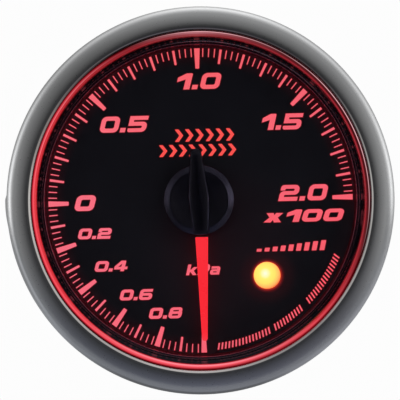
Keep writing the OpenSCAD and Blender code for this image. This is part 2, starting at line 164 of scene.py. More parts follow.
def mix_rgb(nt, a, b, kind="MULTIPLY"):
    mx = nt.nodes.new("ShaderNodeMix")
    mx.data_type, mx.blend_type = "RGBA", kind
    mx.inputs["Factor"].default_value = 1.0
    nt.links.new(a, mx.inputs["A"])
    nt.links.new(b, mx.inputs["B"])
    return mx.outputs["Result"]


def shade(c, f):
    return tuple(min(1.0, v * f) for v in c)


def plastic(name, rgb, rough=0.45, grain=2600.0, depth=0.012, var=0.14, spec=0.5, coat=0.0, ior=1.5):
    """Moulded plastic or rubber: slight mottling, uneven gloss and a fine grain."""
    m, nt, b = new_mat(name)
    v = coords(nt)
    big = noise(nt, v, 160.0, 4.0)
    nt.links.new(ramp(nt, big, [(0.3, shade(rgb, 1 - var)), (0.7, shade(rgb, 1 + var))]), b.inputs["Base Color"])
    nt.links.new(maprange(nt, noise(nt, v, 420.0, 3.0), 0.3, 0.7, rough - 0.06, rough + 0.06), b.inputs["Roughness"])
    bump(nt, b, noise(nt, v, grain, 2.0), 0.35, depth * MM)
    b.inputs["IOR"].default_value = ior
    b.inputs["Specular IOR Level"].default_value = spec
    b.inputs["Coat Weight"].default_value = coat
    b.inputs["Coat Roughness"].default_value = 0.08
    return m


def metal(name, rgb, rough=0.3, grain=(3000, 3000, 3000), depth=0.004, var=0.08):
    """Metal with directional or isotropic fine marks."""
    m, nt, b = new_mat(name)
    v = coords(nt, grain)
    fine = noise(nt, v, 1.0, 3.0)
    big = noise(nt, coords(nt), 220.0, 3.0)
    nt.links.new(ramp(nt, big, [(0.3, shade(rgb, 1 - var)), (0.7, shade(rgb, 1 + var))]), b.inputs["Base Color"])
    nt.links.new(maprange(nt, fine, 0.3, 0.7, max(0.02, rough - 0.07), rough + 0.07), b.inputs["Roughness"])
    bump(nt, b, fine, 0.3, depth * MM)
    b.inputs["Metallic"].default_value = 1.0
    return m


# ---------------------------------------------------------------- materials
def bezel_mat():
    # Anodised satin gunmetal: blasted grain with a trace of the lathe's turning marks.
    m, nt, b = new_mat("bezel_satin")
    v = coords(nt)
    r = radius_from_axis(nt)
    turn = noise(nt, math_vec(nt, r), 9000.0, 2.0)
    fine = noise(nt, v, 3200.0, 2.0)
    big = noise(nt, v, 70.0, 4.0)
    base = ramp(nt, big, [(0.3, (0.560, 0.566, 0.572)), (0.7, (0.610, 0.616, 0.622))])
    # Painted shade: the colour is a touch bluer and darker round the bottom, and darker where the crown turns over the
    # rim, mostly along the bottom.
    c = clock(nt)
    low = ramp(nt, c, [(0.28, (1.0, 1.0, 1.0)), (0.38, (0.86, 0.87, 0.93)), (0.5, (0.90, 0.92, 1.0)), (0.62, (0.84, 0.86, 0.91)), (0.72, (1.0, 1.0, 1.0))])
    rim = ramp(nt, maprange(nt, r, 30.85 * MM, 31.44 * MM, 0.0, 1.0), [(0.0, 1.0), (0.15, 0.95), (0.35, 0.60), (0.6, 0.40), (1.0, 0.32)])
    painted_rim_shade_clock = ramp(nt, c, [(0.0, 0.1), (0.38, 0.0), (0.43, 0.3), (0.46, 1.0), (0.56, 1.0), (0.60, 0.45), (0.63, 0.0), (0.84, 0.2), (1.0, 0.1)])
    painted_rim_shade = nt.nodes.new("ShaderNodeMix")
    painted_rim_shade.data_type = "RGBA"
    nt.links.new(painted_rim_shade_clock, painted_rim_shade.inputs["Factor"])
    painted_rim_shade.inputs["A"].default_value = (1, 1, 1, 1)
    nt.links.new(rim, painted_rim_shade.inputs["B"])
    # Painted highlight: a band made brighter, low on the left.
    painted_low_glint = mix_rgb(nt, ramp(nt, maprange(nt, r, 30.3 * MM, 31.2 * MM, 0.0, 1.0), [(0.25, 0.0), (0.46, 0.40), (0.66, 0.38), (0.85, 0.0)]),
                   ramp(nt, c, [(0.62, 0.0), (0.67, 0.85), (0.71, 1.0), (0.735, 0.6), (0.765, 0.0)]))
    base = mix_rgb(nt, base, painted_low_glint, "ADD")
    # Painted highlight: the rim's turn is made lighter at the top and at the two lower shoulders; painted shade makes
    # the lip round the opening darker.
    painted_rim_highlight = mix_rgb(nt, ramp(nt, maprange(nt, r, 30.4 * MM, 31.44 * MM, 0.0, 1.0), [(0.18, 0.0), (0.42, 0.14), (0.60, 0.28), (1.0, 0.32)]),
                     ramp(nt, c, [(0.0, 0.3), (0.04, 0.3), (0.08, 0.0), (0.26, 0.0), (0.31, 0.7), (0.40, 0.9), (0.44, 0.2), (0.46, 0.0),
                                  (0.57, 0.0), (0.60, 0.6), (0.64, 0.8), (0.68, 0.1), (0.70, 0.0), (0.95, 0.0), (0.98, 0.2), (1.0, 0.3)]))
    base = mix_rgb(nt, base, painted_rim_highlight, "ADD")
    # Painted shade and highlight: round the upper half the shoulder inside that turn is made a shade darker, and at the
    # very top a painted highlight brightens the last of the turn.
    painted_shoulder_shade = nt.nodes.new("ShaderNodeMix")
    painted_shoulder_shade.data_type = "RGBA"
    nt.links.new(ramp(nt, c, [(0.0, 1.0), (0.27, 1.0), (0.31, 0.0), (0.69, 0.0), (0.73, 1.0), (0.80, 0.9), (0.86, 0.5), (0.90, 0.5), (0.96, 1.0), (1.0, 1.0)]), painted_shoulder_shade.inputs["Factor"])
    painted_shoulder_shade.inputs["A"].default_value = (1, 1, 1, 1)
    nt.links.new(ramp(nt, maprange(nt, r, 29.9 * MM, 31.1 * MM, 0.0, 1.0), [(0.10, 1.0), (0.35, 0.88), (0.68, 0.85), (0.82, 0.93), (0.92, 1.0)]), painted_shoulder_shade.inputs["B"])
    base = mix_rgb(nt, base, painted_shoulder_shade.outputs["Result"])
    base = mix_rgb(nt, base, mix_rgb(nt, ramp(nt, maprange(nt, r, 30.4 * MM, 31.44 * MM, 0.0, 1.0), [(0.52, 0.0), (0.70, 0.20), (0.85, 0.18), (1.0, 0.05)]),
                                     ramp(nt, c, [(0.0, 1.0), (0.05, 0.8), (0.09, 0.0), (0.93, 0.0), (0.97, 0.8), (1.0, 1.0)])), "ADD")
    # Painted shade: the flat next to the opening darkens towards the opening.
    base = mix_rgb(nt, base, ramp(nt, maprange(nt, r, 27.9 * MM, 28.5 * MM, 0.0, 1.0), [(0.0, 0.50), (0.5, 0.66), (1.0, 1.0)]))
    nt.links.new(mix_rgb(nt, mix_rgb(nt, base, low), painted_rim_shade.outputs["Result"]), b.inputs["Base Color"])
    mix = math_node(nt, "ADD", math_node(nt, "MULTIPLY", turn, 0.35), math_node(nt, "MULTIPLY", fine, 0.65))
    nt.links.new(maprange(nt, mix, 0.3, 0.7, 0.26, 0.36), b.inputs["Roughness"])
    bump(nt, b, mix, 0.4, 0.0035 * MM)
    b.inputs["Metallic"].default_value = 1.0
    return m


def math_vec(nt, value):
    c = nt.nodes.new("ShaderNodeCombineXYZ")
    nt.links.new(value, c.inputs["X"])
    return c.outputs["Vector"]


def chamfer_mat():
    # Diamond-cut edge with painted reflection: its colour is made bright round the sides and bottom and darker round
    # the top.
    m, nt, b = new_mat("bezel_polished")
    r = radius_from_axis(nt)
    turn = noise(nt, math_vec(nt, r), 16000.0, 2.0)
    big = noise(nt, coords(nt), 120.0, 3.0)
    painted_cut_reflection = ramp(nt, clock(nt), [(0.0, (0.36, 0.32, 0.33)), (0.06, (0.27, 0.23, 0.23)), (0.13, (0.24, 0.20, 0.20)), (0.19, (0.70, 0.67, 0.65)), (0.23, (1.0, 0.97, 0.94)), (0.34, (1.0, 0.96, 0.94)),
                               (0.361, (0.92, 0.88, 0.86)), (0.389, (0.68, 0.65, 0.64)), (0.43, (0.68, 0.65, 0.64)), (0.46, (0.84, 0.81, 0.79)), (0.50, (1.0, 0.96, 0.94)), (0.54, (0.98, 0.94, 0.92)), (0.58, (0.86, 0.82, 0.80)), (0.64, (0.98, 0.93, 0.90)),
                               (0.76, (1.0, 0.95, 0.91)), (0.82, (0.62, 0.55, 0.53)), (0.90, (0.42, 0.37, 0.37)), (1.0, (0.36, 0.32, 0.33))])
    mx = nt.nodes.new("ShaderNodeMix")
    mx.data_type, mx.blend_type = "RGBA", "MULTIPLY"
    mx.inputs["Factor"].default_value = 1.0
    # Painted shade: round the top and right the inner half of the cut is darkened, so only the outer half is bright.
    painted_half_cut_shade = nt.nodes.new("ShaderNodeMix")
    painted_half_cut_shade.data_type = "RGBA"
    nt.links.new(ramp(nt, clock(nt), [(0.0, 1.0), (0.23, 1.0), (0.26, 0.8), (0.31, 0.3), (0.34, 0.0), (0.84, 0.0), (0.92, 1.0), (1.0, 1.0)]), painted_half_cut_shade.inputs["Factor"])
    painted_half_cut_shade.inputs["A"].default_value = (1, 1, 1, 1)
    nt.links.new(ramp(nt, maprange(nt, r, 27.60 * MM, 27.90 * MM, 0.0, 1.0), [(0.0, 0.03), (0.38, 0.14), (0.60, 1.0)]), painted_half_cut_shade.inputs["B"])
    nt.links.new(mix_rgb(nt, painted_cut_reflection, painted_half_cut_shade.outputs["Result"]), mx.inputs["A"])
    nt.links.new(ramp(nt, big, [(0.3, 0.92), (0.7, 1.0)]), mx.inputs["B"])
    nt.links.new(mx.outputs["Result"], b.inputs["Base Color"])
    # Painted light: the edge also glows faintly in its own painted colour.
    nt.links.new(mx.outputs["Result"], b.inputs["Emission Color"])
    b.inputs["Emission Strength"].default_value = 0.085
    nt.links.new(maprange(nt, turn, 0.3, 0.7, 0.10, 0.18), b.inputs["Roughness"])
    b.inputs["Metallic"].default_value = 1.0
    return m


def hub_edge_mat():
    # Satin edge of the cap with a painted highlight: its colour is made brighter on the two flanks than at its ends.
    m, nt, b = new_mat("hub_edge_painted_highlight")
    tone = ramp(nt, clock(nt), [(0.0, (0.060, 0.057, 0.085)), (0.14, (0.055, 0.051, 0.078)), (0.175, (0.095, 0.088, 0.130)), (0.20, (0.130, 0.120, 0.176)),
                                (0.25, (0.145, 0.132, 0.200)), (0.28, (0.095, 0.088, 0.132)), (0.306, (0.062, 0.058, 0.088)), (0.361, (0.086, 0.082, 0.122)),
                                (0.44, (0.075, 0.075, 0.120)), (0.56, (0.068, 0.068, 0.110)), (0.64, (0.050, 0.048, 0.072)), (0.694, (0.042, 0.040, 0.060)),
                                (0.75, (0.095, 0.088, 0.130)), (0.806, (0.120, 0.110, 0.162)), (0.861, (0.062, 0.059, 0.088)), (0.917, (0.050, 0.048, 0.072)),
                                (1.0, (0.060, 0.057, 0.085))])
    n = noise(nt, coords(nt), 240.0, 3.0)
    nt.links.new(mix_rgb(nt, tone, ramp(nt, n, [(0.3, 0.93), (0.7, 1.0)])), b.inputs["Base Color"])
    nt.links.new(maprange(nt, noise(nt, coords(nt), 2600.0, 2.0), 0.3, 0.7, 0.17, 0.23), b.inputs["Roughness"])
    b.inputs["Metallic"].default_value = 1.0
    return m


def shroud_line_mat():
    # Painted highlight: the upper bead is made a little brighter round the top of the dial.
    m, nt, b = new_mat("shroud_line")
    nt.links.new(ramp(nt, clock(nt), [(0.0, (0.90, 0.74, 0.84)), (0.09, (0.80, 0.62, 0.72)), (0.16, (0.26, 0.15, 0.20)), (0.25, (0.24, 0.14, 0.19)), (0.32, (0.05, 0.035, 0.045)),
                                      (0.70, (0.05, 0.035, 0.045)), (0.86, (0.12, 0.08, 0.10)), (0.955, (0.18, 0.13, 0.16)), (0.975, (0.34, 0.26, 0.31)), (1.0, (0.95, 0.78, 0.88))]),
                 b.inputs["Base Color"])
    nt.links.new(maprange(nt, noise(nt, coords(nt), 900.0, 2.0), 0.3, 0.7, 0.24, 0.34), b.inputs["Roughness"])
    b.inputs["Metallic"].default_value = 1.0
    return m


def glow_mat(name, rgb, strength, base=(0.3, 0.01, 0.015), rough=0.35, var=0.06, coat=0.0):
    """Print or plastic lit from behind: emission that varies a little over the surface."""
    m, nt, b = new_mat(name)
    v = coords(nt)
    n = noise(nt, v, 260.0, 3.0)
    nt.links.new(ramp(nt, n, [(0.3, shade(rgb, 1 - var)), (0.7, shade(rgb, 1 + var))]), b.inputs["Emission Color"])
    b.inputs["Emission Strength"].default_value = strength
    nt.links.new(ramp(nt, n, [(0.3, shade(base, 0.9)), (0.7, shade(base, 1.1))]), b.inputs["Base Color"])
    nt.links.new(maprange(nt, noise(nt, v, 900.0, 2.0), 0.3, 0.7, rough - 0.05, rough + 0.05), b.inputs["Roughness"])
    b.inputs["Coat Weight"].default_value = coat
    return m


def print_mat():
    # Numerals and marks: the upper dial is a touch more orange, the lower left pinker.
    m, nt, b = new_mat("print_lit")
    c = clock(nt)
    col = ramp(nt, c, [(0.0, (1.0, 0.130, 0.155)), (0.2, (1.0, 0.138, 0.190)), (0.32, (1.0, 0.115, 0.15)),
                       (0.55, (1.0, 0.145, 0.20)), (0.72, (1.0, 0.170, 0.235)), (0.85, (1.0, 0.155, 0.200)),
                       (1.0, (1.0, 0.130, 0.155))])
    n = noise(nt, coords(nt), 300.0, 2.0)
    hs = nt.nodes.new("ShaderNodeMix")
    hs.data_type = "RGBA"
    hs.blend_type = "MULTIPLY"
    hs.inputs["Factor"].default_value = 1.0
    nt.links.new(col, hs.inputs["A"])
    nt.links.new(ramp(nt, n, [(0.3, 0.93), (0.7, 1.0)]), hs.inputs["B"])
    nt.links.new(hs.outputs["Result"], b.inputs["Emission Color"])
    b.inputs["Emission Strength"].default_value = 1.0
    nt.links.new(ramp(nt, n, [(0.3, (0.10, 0.02, 0.02)), (0.7, (0.13, 0.02, 0.025))]), b.inputs["Base Color"])
    b.inputs["Roughness"].default_value = 0.6
    return m


def halo_mat():
    # Light pipe: bright from the lower right round to the left, dim at the top and right.
    m, nt, b = new_mat("halo_lit")
    c = clock(nt)
    g = ramp(nt, c, [(0.0, 0.28), (0.083, 0.11), (0.167, 0.05), (0.25, 0.07), (0.278, 0.10), (0.306, 0.22), (0.333, 0.38), (0.361, 0.64), (0.389, 0.82),
                     (0.43, 0.90), (0.5, 0.95), (0.60, 0.97), (0.75, 0.97), (0.833, 0.82), (0.885, 0.56), (0.917, 0.32), (0.944, 0.22), (0.972, 0.23), (1.0, 0.28)])
    n = noise(nt, coords(nt), 240.0, 2.0)
    # The bright core lies nearer the rim at the upper left and nearer the dial at the lower right.
    tc = nt.nodes.new("ShaderNodeTexCoord")
    mp = nt.nodes.new("ShaderNodeMapping")
    mp.inputs["Location"].default_value = (0.04 * MM, 0.0, -0.02 * MM)
    mp.inputs["Scale"].default_value = (1, 0, 1)
    nt.links.new(tc.outputs["Object"], mp.inputs["Vector"])
    ln = nt.nodes.new("ShaderNodeVectorMath")
    ln.operation = "LENGTH"
    nt.links.new(mp.outputs["Vector"], ln.inputs[0])
    r = ln.outputs["Value"]
    across = maprange(nt, r, 26.5 * MM, 27.5 * MM, 0.0, 1.0)
    drift = ramp(nt, c, [(0.0, 0.02), (0.125, 0.02), (0.25, 0.05), (0.306, 0.07), (0.375, 0.10), (0.44, 0.13), (0.5, 0.06), (0.56, 0.02), (0.62, 0.0), (0.76, 0.0),
                         (0.82, 0.04), (0.875, 0.07), (0.94, 0.02), (1.0, 0.02)])
    across = math_node(nt, "ADD", math_node(nt, "SUBTRACT", across, drift), 0.02)
    tone = ramp(nt, across,
                [(0.0, (0.16, 0.0, 0.002)), (0.07, (0.40, 0.006, 0.010)), (0.16, (0.72, 0.030, 0.042)), (0.40, (0.78, 0.035, 0.050)),
                 (0.46, (1.0, 0.085, 0.115)), (0.66, (1.0, 0.095, 0.125)), (0.76, (0.62, 0.022, 0.036)), (0.86, (0.28, 0.006, 0.012)),
                 (0.95, (0.08, 0.001, 0.002)), (1.0, (0.02, 0.0, 0.001))])
    lit = mix_rgb(nt, tone, g)
    # Its outer half thins along the bottom, its inner edge at the lower right.
    whole = maprange(nt, radius_from_axis(nt), 26.5 * MM, 27.5 * MM, 0.0, 1.0)
    for band, spread in (([(0.55, 1.0), (0.69, 0.60), (0.85, 0.60)], [(0.38, 0.0), (0.42, 1.0), (0.5, 0.8), (0.56, 0.4), (0.61, 0.2), (0.65, 0.0)]),
                         ([(0.0, 0.35), (0.22, 0.70), (0.38, 1.0)], [(0.33, 0.0), (0.37, 1.0), (0.445, 1.0), (0.48, 0.0)])):
        thin = nt.nodes.new("ShaderNodeMix")
        thin.data_type = "RGBA"
        nt.links.new(ramp(nt, c, spread), thin.inputs["Factor"])
        thin.inputs["A"].default_value = (1, 1, 1, 1)
        nt.links.new(ramp(nt, whole, band), thin.inputs["B"])
        lit = mix_rgb(nt, lit, thin.outputs["Result"])
    # Painted highlights: a pale edge where the ring meets the bezel, round the top and right, and a pale inner line at
    # the bottom.
    raw = maprange(nt, radius_from_axis(nt), 26.5 * MM, 27.5 * MM, 0.0, 1.0)
    edge = mix_rgb(nt, ramp(nt, raw, [(0.74, (0, 0, 0)), (0.80, (0.45, 0.15, 0.17)), (0.87, (1.0, 0.64, 0.66)), (0.92, (0.70, 0.33, 0.36)), (0.96, (0, 0, 0))]),
                   ramp(nt, c, [(0.0, 1.0), (0.028, 0.85), (0.056, 0.55), (0.083, 0.38), (0.111, 0.58), (0.139, 0.92), (0.194, 1.0), (0.222, 0.82), (0.25, 0.66), (0.28, 0.25), (0.31, 0.0),
                                 (0.93, 0.0), (0.95, 0.15), (0.972, 0.45), (0.986, 0.75), (1.0, 1.0)]))
    inner = mix_rgb(nt, ramp(nt, across, [(0.08, (0, 0, 0)), (0.19, (0.32, 0.19, 0.23)), (0.31, (0.42, 0.26, 0.30)), (0.40, (0.28, 0.14, 0.17)), (0.50, (0, 0, 0))]),
                    ramp(nt, c, [(0.38, 0.0), (0.42, 0.40), (0.46, 0.75), (0.50, 1.0), (0.54, 0.95), (0.58, 0.60), (0.62, 0.15), (0.66, 0.0)]))
    # Painted glint: at the very top the ring is given a soft white glint.
    painted_top_glint = mix_rgb(nt, ramp(nt, raw, [(0.10, (0, 0, 0)), (0.20, (0.12, 0.038, 0.040)), (0.36, (0.15, 0.045, 0.052)), (0.52, (0.11, 0.065, 0.075)),
                                       (0.69, (0.25, 0.19, 0.21)), (0.80, (0, 0, 0))]),
                    ramp(nt, c, [(0.0, 1.0), (0.022, 0.5), (0.05, 0.15), (0.09, 0.0), (0.94, 0.0), (0.96, 0.3), (0.975, 0.55), (1.0, 1.0)]))
    lit = mix_rgb(nt, lit, painted_top_glint, "ADD")
    # Painted highlight: a fine pink streak along the upper left.
    painted_pink_streak = mix_rgb(nt, ramp(nt, raw, [(0.52, (0, 0, 0)), (0.60, (0.16, 0.16, 0.17)), (0.68, (0, 0, 0))]),
                     ramp(nt, c, [(0.755, 0.0), (0.79, 0.9), (0.86, 1.0), (0.885, 0.8), (0.915, 0.1), (0.94, 0.0)]))
    lit = mix_rgb(nt, lit, painted_pink_streak, "ADD")
    # Where the light thins out on the right the core splits into two lines.
    split = mix_rgb(nt, ramp(nt, raw, [(0.12, (0, 0, 0)), (0.24, (0.34, 0.014, 0.024)), (0.34, (0.38, 0.018, 0.030)), (0.42, (0.15, 0.005, 0.009)), (0.50, (0.02, 0.0, 0.001)), (0.60, (0, 0, 0))]),
                    ramp(nt, c, [(0.02, 0.0), (0.08, 0.60), (0.125, 0.75), (0.19, 1.0), (0.25, 0.75), (0.31, 0.65), (0.36, 0.15), (0.38, 0.0), (0.89, 0.0), (0.92, 0.35), (0.95, 0.35), (0.98, 0.0)]))
    lit = mix_rgb(nt, mix_rgb(nt, mix_rgb(nt, lit, edge, "ADD"), inner, "ADD"), split, "ADD")
    nt.links.new(lit, b.inputs["Emission Color"])
    b.inputs["Emission Strength"].default_value = 1.0
    nt.links.new(ramp(nt, n, [(0.3, (0.12, 0.002, 0.004)), (0.7, (0.16, 0.003, 0.006))]), b.inputs["Base Color"])
    nt.links.new(maprange(nt, noise(nt, coords(nt), 700.0, 2.0), 0.3, 0.7, 0.10, 0.17), b.inputs["Roughness"])
    b.inputs["Coat Weight"].default_value = 0.5
    b.inputs["Coat Roughness"].default_value = 0.06
    return m


def dial_mat():
    # Black print ground with the amber lamp's glow bleeding into it.
    m, nt, b = new_mat("dial_ground")
    v = coords(nt)
    fine = noise(nt, v, 5200.0, 2.0)
    big = noise(nt, v, 110.0, 3.0)
    nt.links.new(ramp(nt, big, [(0.3, (0.0330, 0.0325, 0.0450)), (0.7, (0.0390, 0.0385, 0.0530))]), b.inputs["Base Color"])
    nt.links.new(maprange(nt, fine, 0.3, 0.7, 0.42, 0.56), b.inputs["Roughness"])
    bump(nt, b, fine, 0.25, 0.006 * MM)
    b.inputs["Specular IOR Level"].default_value = 0.14
    d = nt.nodes.new("ShaderNodeVectorMath")
    d.operation = "DISTANCE"
    nt.links.new(v, d.inputs[0])
    d.inputs[1].default_value = tuple(P(LAMP[0], LAMP[1], DIAL_Z))
    glow = ramp(nt, maprange(nt, d.outputs["Value"], 2.1 * MM, 5.2 * MM, 0.0, 1.0),
                [(0.0, (0.62, 0.045, 0.010)), (0.07, (0.30, 0.010, 0.006)), (0.15, (0.060, 0.0012, 0.0018)),
                 (0.26, (0.010, 0.0003, 0.0004)), (1.0, (0.0, 0.0, 0.0))], "EASE")
    # A faint red haze between the hub and the lamp, where light leaks under the print.
    far = nt.nodes.new("ShaderNodeVectorMath")
    far.operation = "DISTANCE"
    nt.links.new(v, far.inputs[0])
    far.inputs[1].default_value = tuple(P(4.0, -7.5, DIAL_Z))
    haze = ramp(nt, maprange(nt, far.outputs["Value"], 0.0, 15.0 * MM, 0.0, 1.0),
                [(0.0, (0.0034, 0.0004, 0.0008)), (0.45, (0.0022, 0.0003, 0.0006)), (1.0, (0.0, 0.0, 0.0))], "EASE")
    # The same haze among the graduations.
    belt = mix_rgb(nt, ramp(nt, maprange(nt, radius_from_axis(nt), 22.0 * MM, 26.0 * MM, 0.0, 1.0),
                            [(0.0, (0.0, 0.0, 0.0)), (0.30, (0.007, 0.0002, 0.0005)), (0.62, (0.014, 0.0004, 0.0010)), (0.76, (0.018, 0.0006, 0.0014)), (1.0, (0.0, 0.0, 0.0))]),
                   ramp(nt, clock(nt), [(0.0, 1.0), (0.24, 1.0), (0.27, 0.15), (0.48, 0.15), (0.51, 1.0), (1.0, 1.0)]))
    nt.links.new(mix_rgb(nt, mix_rgb(nt, glow, haze, "ADD"), belt, "ADD"), b.inputs["Emission Color"])
    b.inputs["Emission Strength"].default_value = 1.0
    return m


def lamp_mat():
    m, nt, b = new_mat("lamp_lit")
    v = coords(nt)
    d = nt.nodes.new("ShaderNodeVectorMath")
    d.operation = "DISTANCE"
    nt.links.new(v, d.inputs[0])
    d.inputs[1].default_value = tuple(P(LAMP[0] - 0.33, LAMP[1] + 0.35, DIAL_Z + 0.3))
    col = ramp(nt, maprange(nt, d.outputs["Value"], 0.0, 2.6 * MM, 0.0, 1.0),
               [(0.0, (1.0, 0.97, 0.78)), (0.16, (1.0, 0.95, 0.52)), (0.36, (1.0, 0.86, 0.17)), (0.62, (1.0, 0.75, 0.14)),
                (0.80, (1.0, 0.55, 0.13)), (0.93, (1.0, 0.36, 0.10)), (1.0, (0.85, 0.16, 0.05))])
    nt.links.new(col, b.inputs["Emission Color"])
    b.inputs["Emission Strength"].default_value = 1.05
    n = noise(nt, v, 500.0, 2.0)
    nt.links.new(ramp(nt, n, [(0.3, (0.5, 0.28, 0.03)), (0.7, (0.6, 0.34, 0.04))]), b.inputs["Base Color"])
    b.inputs["Roughness"].default_value = 0.25
    return m


def needle_mat():
    m, nt, b = new_mat("needle_lit")
    r = radius_from_axis(nt)
    col = ramp(nt, maprange(nt, r, 6.0 * MM, 23.0 * MM, 0.0, 1.0),
               [(0.0, (1.0, 0.030, 0.045)), (0.5, (0.985, 0.022, 0.036)), (0.9, (0.98, 0.024, 0.038)), (1.0, (1.0, 0.045, 0.065))])
    nt.links.new(col, b.inputs["Emission Color"])
    b.inputs["Emission Strength"].default_value = 0.97
    n = noise(nt, coords(nt), 500.0, 2.0)
    nt.links.new(ramp(nt, n, [(0.3, (0.30, 0.004, 0.006)), (0.7, (0.36, 0.006, 0.008))]), b.inputs["Base Color"])
    nt.links.new(maprange(nt, n, 0.3, 0.7, 0.25, 0.35), b.inputs["Roughness"])
    return m


def lens_mat():
    m, nt, b = new_mat("lens_smoked")
    n = noise(nt, coords(nt), 90.0, 2.0)
    nt.links.new(ramp(nt, n, [(0.3, (0.955, 0.95, 0.96)), (0.7, (0.975, 0.97, 0.98))]), b.inputs["Base Color"])
    b.inputs["Transmission Weight"].default_value = 1.0
    b.inputs["Roughness"].default_value = 0.0
    b.inputs["IOR"].default_value = 1.12
    return m


LAMP = (10.56, -12.47)
DIAL_Z = -3.1

M = {
    "bezel": bezel_mat(),
    "chamfer": chamfer_mat(),
    "halo": halo_mat(),
    "dial": dial_mat(),
    "print": print_mat(),
    "emblem": glow_mat("emblem_lit", (1.0, 0.092, 0.080), 1.0),
    "bleed": glow_mat("print_bleed", (0.085, 0.0016, 0.003), 1.0, base=(0.02, 0.001, 0.001), rough=0.6),
    "lamp": lamp_mat(),
    "needle": needle_mat(),
    "lens": lens_mat(),
    "shroud": plastic("shroud_satin", (0.0028, 0.0024, 0.0034), rough=0.15, grain=2600.0, depth=0.0002, spec=0.16),
    # Painted light: the shroud's foot is coloured red to stand in for the red glow of the lit marks beside it.
    "shroud_foot": plastic("shroud_foot_painted_glow", (0.160, 0.018, 0.032), rough=0.50, grain=2600.0, depth=0.0006, spec=0.2),
    "shroud_bead": metal("shroud_bead_gloss", (0.66, 0.17, 0.25), rough=0.045, depth=0.00005),
    "shroud_line": shroud_line_mat(),
    "hub": plastic("hub_gloss", (0.0045, 0.0045, 0.0110), rough=0.20, grain=1200.0, depth=0.0006, var=0.10),
    "hub_edge": hub_edge_mat(),
    "boss": plastic("boss_moulded", (0.010, 0.009, 0.010), rough=0.5),
    "rubber": plastic("rubber_seal", (0.012, 0.012, 0.012), rough=0.75, grain=2400.0, depth=0.02, spec=0.3),
    "case": plastic("case_filled", (0.022, 0.022, 0.024), rough=0.48, grain=1900.0, depth=0.055, var=0.28),
    "cover": plastic("cover_filled", (0.026, 0.026, 0.029), rough=0.46, grain=2000.0, depth=0.050, var=0.26),
    "steel": metal("zinc_steel", (0.60, 0.61, 0.63), rough=0.28),
    "shaft": metal("ground_steel", (0.62, 0.62, 0.64), rough=0.20, grain=(9000, 300, 9000)),
    "magnet": plastic("ferrite", (0.035, 0.034, 0.036), rough=0.6, grain=3000.0, depth=0.02),
    "iron": metal("stator_sheet", (0.42, 0.43, 0.46), rough=0.35, grain=(400, 9000, 400)),
    "copper": metal("coil_wire", (0.72, 0.26, 0.11), rough=0.25, grain=(6000, 6000, 6000), depth=0.02),
    "brass": metal("contact_gold", (0.82, 0.60, 0.26), rough=0.22),
    "tin": metal("contact_tin", (0.62, 0.61, 0.58), rough=0.35),
    "acetal": plastic("gear_acetal", (0.76, 0.73, 0.64), rough=0.42, grain=1800.0, depth=0.006, var=0.05),
    "white": plastic("white_housing", (0.80, 0.80, 0.78), rough=0.55, var=0.04),
    "acrylic": lens_mat(),
    "pcb": plastic("solder_mask", (0.012, 0.085, 0.040), rough=0.28, grain=1500.0, depth=0.010, var=0.25),
    "chipw": plastic("led_package", (0.80, 0.76, 0.62), rough=0.4, var=0.05),
    "chipb": plastic("chip_epoxy", (0.014, 0.014, 0.015), rough=0.55, grain=5000.0),
    "can": metal("capacitor_can", (0.74, 0.75, 0.77), rough=0.18),
    "nylon_w": plastic("nylon_natural", (0.70, 0.67, 0.58), rough=0.42, grain=1500.0, depth=0.010, var=0.05),
    "nylon_b": plastic("nylon_black", (0.022, 0.022, 0.024), rough=0.42, grain=1500.0, depth=0.010),
    "led": plastic("led_epoxy", (0.85, 0.55, 0.12), rough=0.15, grain=600.0, depth=0.002),
}

for key, rgb in (("hub", (0.84, 0.78, 1.0)), ("shroud", (0.95, 0.75, 1.0))):
    sh = next(n for n in M[key].node_tree.nodes if n.type == "BSDF_PRINCIPLED")
    sh.inputs["Specular Tint"].default_value = rgb + (1.0,)
    if key == "shroud":                      # the faint bloom of the lit dial on its wall
        wall = M[key].node_tree
        wall.links.new(ramp(wall, clock(wall), [(0.0, (0.06, 0.046, 0.083)), (0.36, (0.06, 0.046, 0.083)), (0.43, (0.30, 0.34, 0.46)), (0.50, (0.44, 0.52, 0.68)),
                                                (0.57, (0.36, 0.40, 0.54)), (0.625, (0.18, 0.18, 0.26)), (0.70, (0.06, 0.046, 0.083))]), sh.inputs["Emission Color"])
        sh.inputs["Emission Strength"].default_value = 0.02

# Inner CAD pieces keep their shape and get a finished material.
KEEP = {
    "lens_gasket": "rubber", "pointer_boss": "boss", "pointer_shaft": "shaft", "output_gear": "acetal",
    "intermediate_gear": "acetal", "rotor_pinion": "shaft", "rotor_magnet": "magnet", "warning_led": "led",
    "light_guide": "acrylic", "reflector_housing": "white", "led_board": "pcb", "dial_leds": "chipw",
    "pointer_leds": "chipw", "halo_leds": "chipw", "board_screws": "steel", "motor_case_front": "chipb",
    "motor_case_rear": "chipb", "stator_core": "iron", "motor_bobbins": "acetal", "motor_coils": "copper",
    "motor_pins": "tin", "driver_board": "pcb", "board_header": "nylon_b", "header_pins": "brass",
    "mcu_chip": "chipb", "voltage_regulator": "chipb", "capacitors": "can", "power_socket": "nylon_w",
    "power_socket_pins": "brass", "sensor_socket": "nylon_b", "sensor_socket_pins": "brass", "case": "case",
    "rear_seal": "rubber", "rear_cover": "cover", "cover_screws": "steel", "mounting_studs": "steel",
}
for name, key in KEEP.items():
    o = NODE[name]
    o.data.materials.clear()
    o.data.materials.append(M[key])


